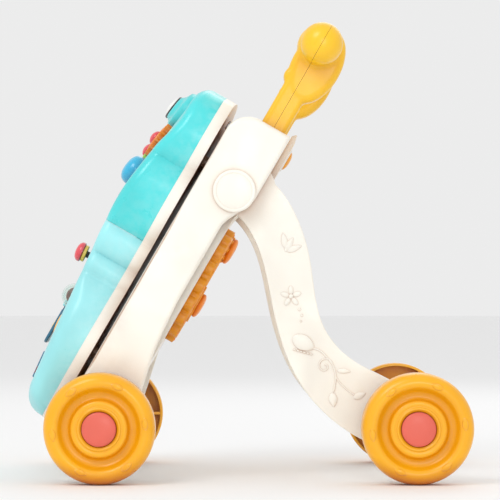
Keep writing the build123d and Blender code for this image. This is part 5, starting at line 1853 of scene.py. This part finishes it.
    def build(self) -> None:
        """Make every toy."""
        self.buttons()
        self.gear_set()
        self.lamp()
        self.lever()
        self.keyboard()
        self.flap_and_drum()


# ---- studio ----
@dataclass
class Studio:
    """Pale floor, soft light and the camera."""

    shop: Shop

    def floor(self) -> None:
        """Lay the pale floor."""
        body = Body()
        half = 15.0
        corners = ((-half, -half), (half, -half), (half, half), (-half, half))
        body.bm.faces.new([body.bm.verts.new((x, y, 0.0)) for x, y in corners])
        material, _, shader = start_material("studio_floor")
        shader.inputs["Base Color"].default_value = (0.93, 0.93, 0.93, 1)
        shader.inputs["Roughness"].default_value = 0.75
        obj = body.finish("studio_floor", material, closed=False)

    def light(self, name: str, place: Vector, aim: Vector, size: float, power: float) -> None:
        """Hang a square area light."""
        lamp = bpy.data.lights.new(name, "AREA")
        lamp.shape = "SQUARE"
        lamp.size = size
        lamp.energy = power
        obj = bpy.data.objects.new(name, lamp)
        obj.location = place
        obj.rotation_euler = (aim - place).to_track_quat("-Z", "Y").to_euler()
        bpy.context.scene.collection.objects.link(obj)

    def camera(self) -> None:
        """Stand the camera at the walker's near side."""
        lens = bpy.data.cameras.new("view")
        lens.lens = 187.0
        lens.sensor_width = 36.0
        lens.shift_x = 0.058
        lens.shift_y = 0.074
        lens.clip_end = 60.0
        obj = bpy.data.objects.new("view", lens)
        obj.location = (-0.0287, -2.790, 0.1995)
        obj.rotation_euler = (math.radians(90), 0, 0)
        bpy.context.scene.collection.objects.link(obj)
        bpy.context.scene.camera = obj

    def build(self) -> None:
        """Set up the whole studio."""
        self.floor()
        self.camera()
        middle = Vector((0, 0, 0.2))
        self.light("key_light", Vector((-1.1, -1.7, 2.1)), middle, 1.1, 16)
        self.light("fill_light", Vector((0.3, -2.9, 0.7)), middle, 0.8, 7)
        self.light("back_light", Vector((0.6, 1.8, 1.6)), middle, 1.4, 6)
        world = bpy.data.worlds.new("white_room")
        world.use_nodes = True
        background = world.node_tree.nodes["Background"]
        background.inputs["Color"].default_value = (1, 1, 1, 1)
        background.inputs["Strength"].default_value = 0.84
        bpy.context.scene.world = world
        bpy.context.scene.view_settings.view_transform = "Standard"


def main() -> None:
    """Build the walker and its studio."""
    logging.basicConfig(level=logging.INFO)
    finishes = Finishes()
    shop = Shop(finishes, Patterns())
    pivot = sum(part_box("pivot_pins"), Vector()) / 2
    hub = sum(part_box("rear_axle_nuts"), Vector()) / 2
    parts = [FrameBody(shop), PlayPlate(shop), Handle(shop), RearLegs(shop, pivot, hub), PlayPanel(shop), Toys(shop)]
    for side in Side:
        for end, centre in (("front", AXES.hub), ("rear", hub)):
            parts.append(Wheel(shop, f"{end}_{side.word}", side, centre))
    for part in parts:
        log.info("building %s", type(part).__name__)
        part.build()
        if hasattr(part, "dress"):
            part.dress()
    shop.patterns.clear()
    Studio(shop).build()


if __name__ == "__main__":
    main()
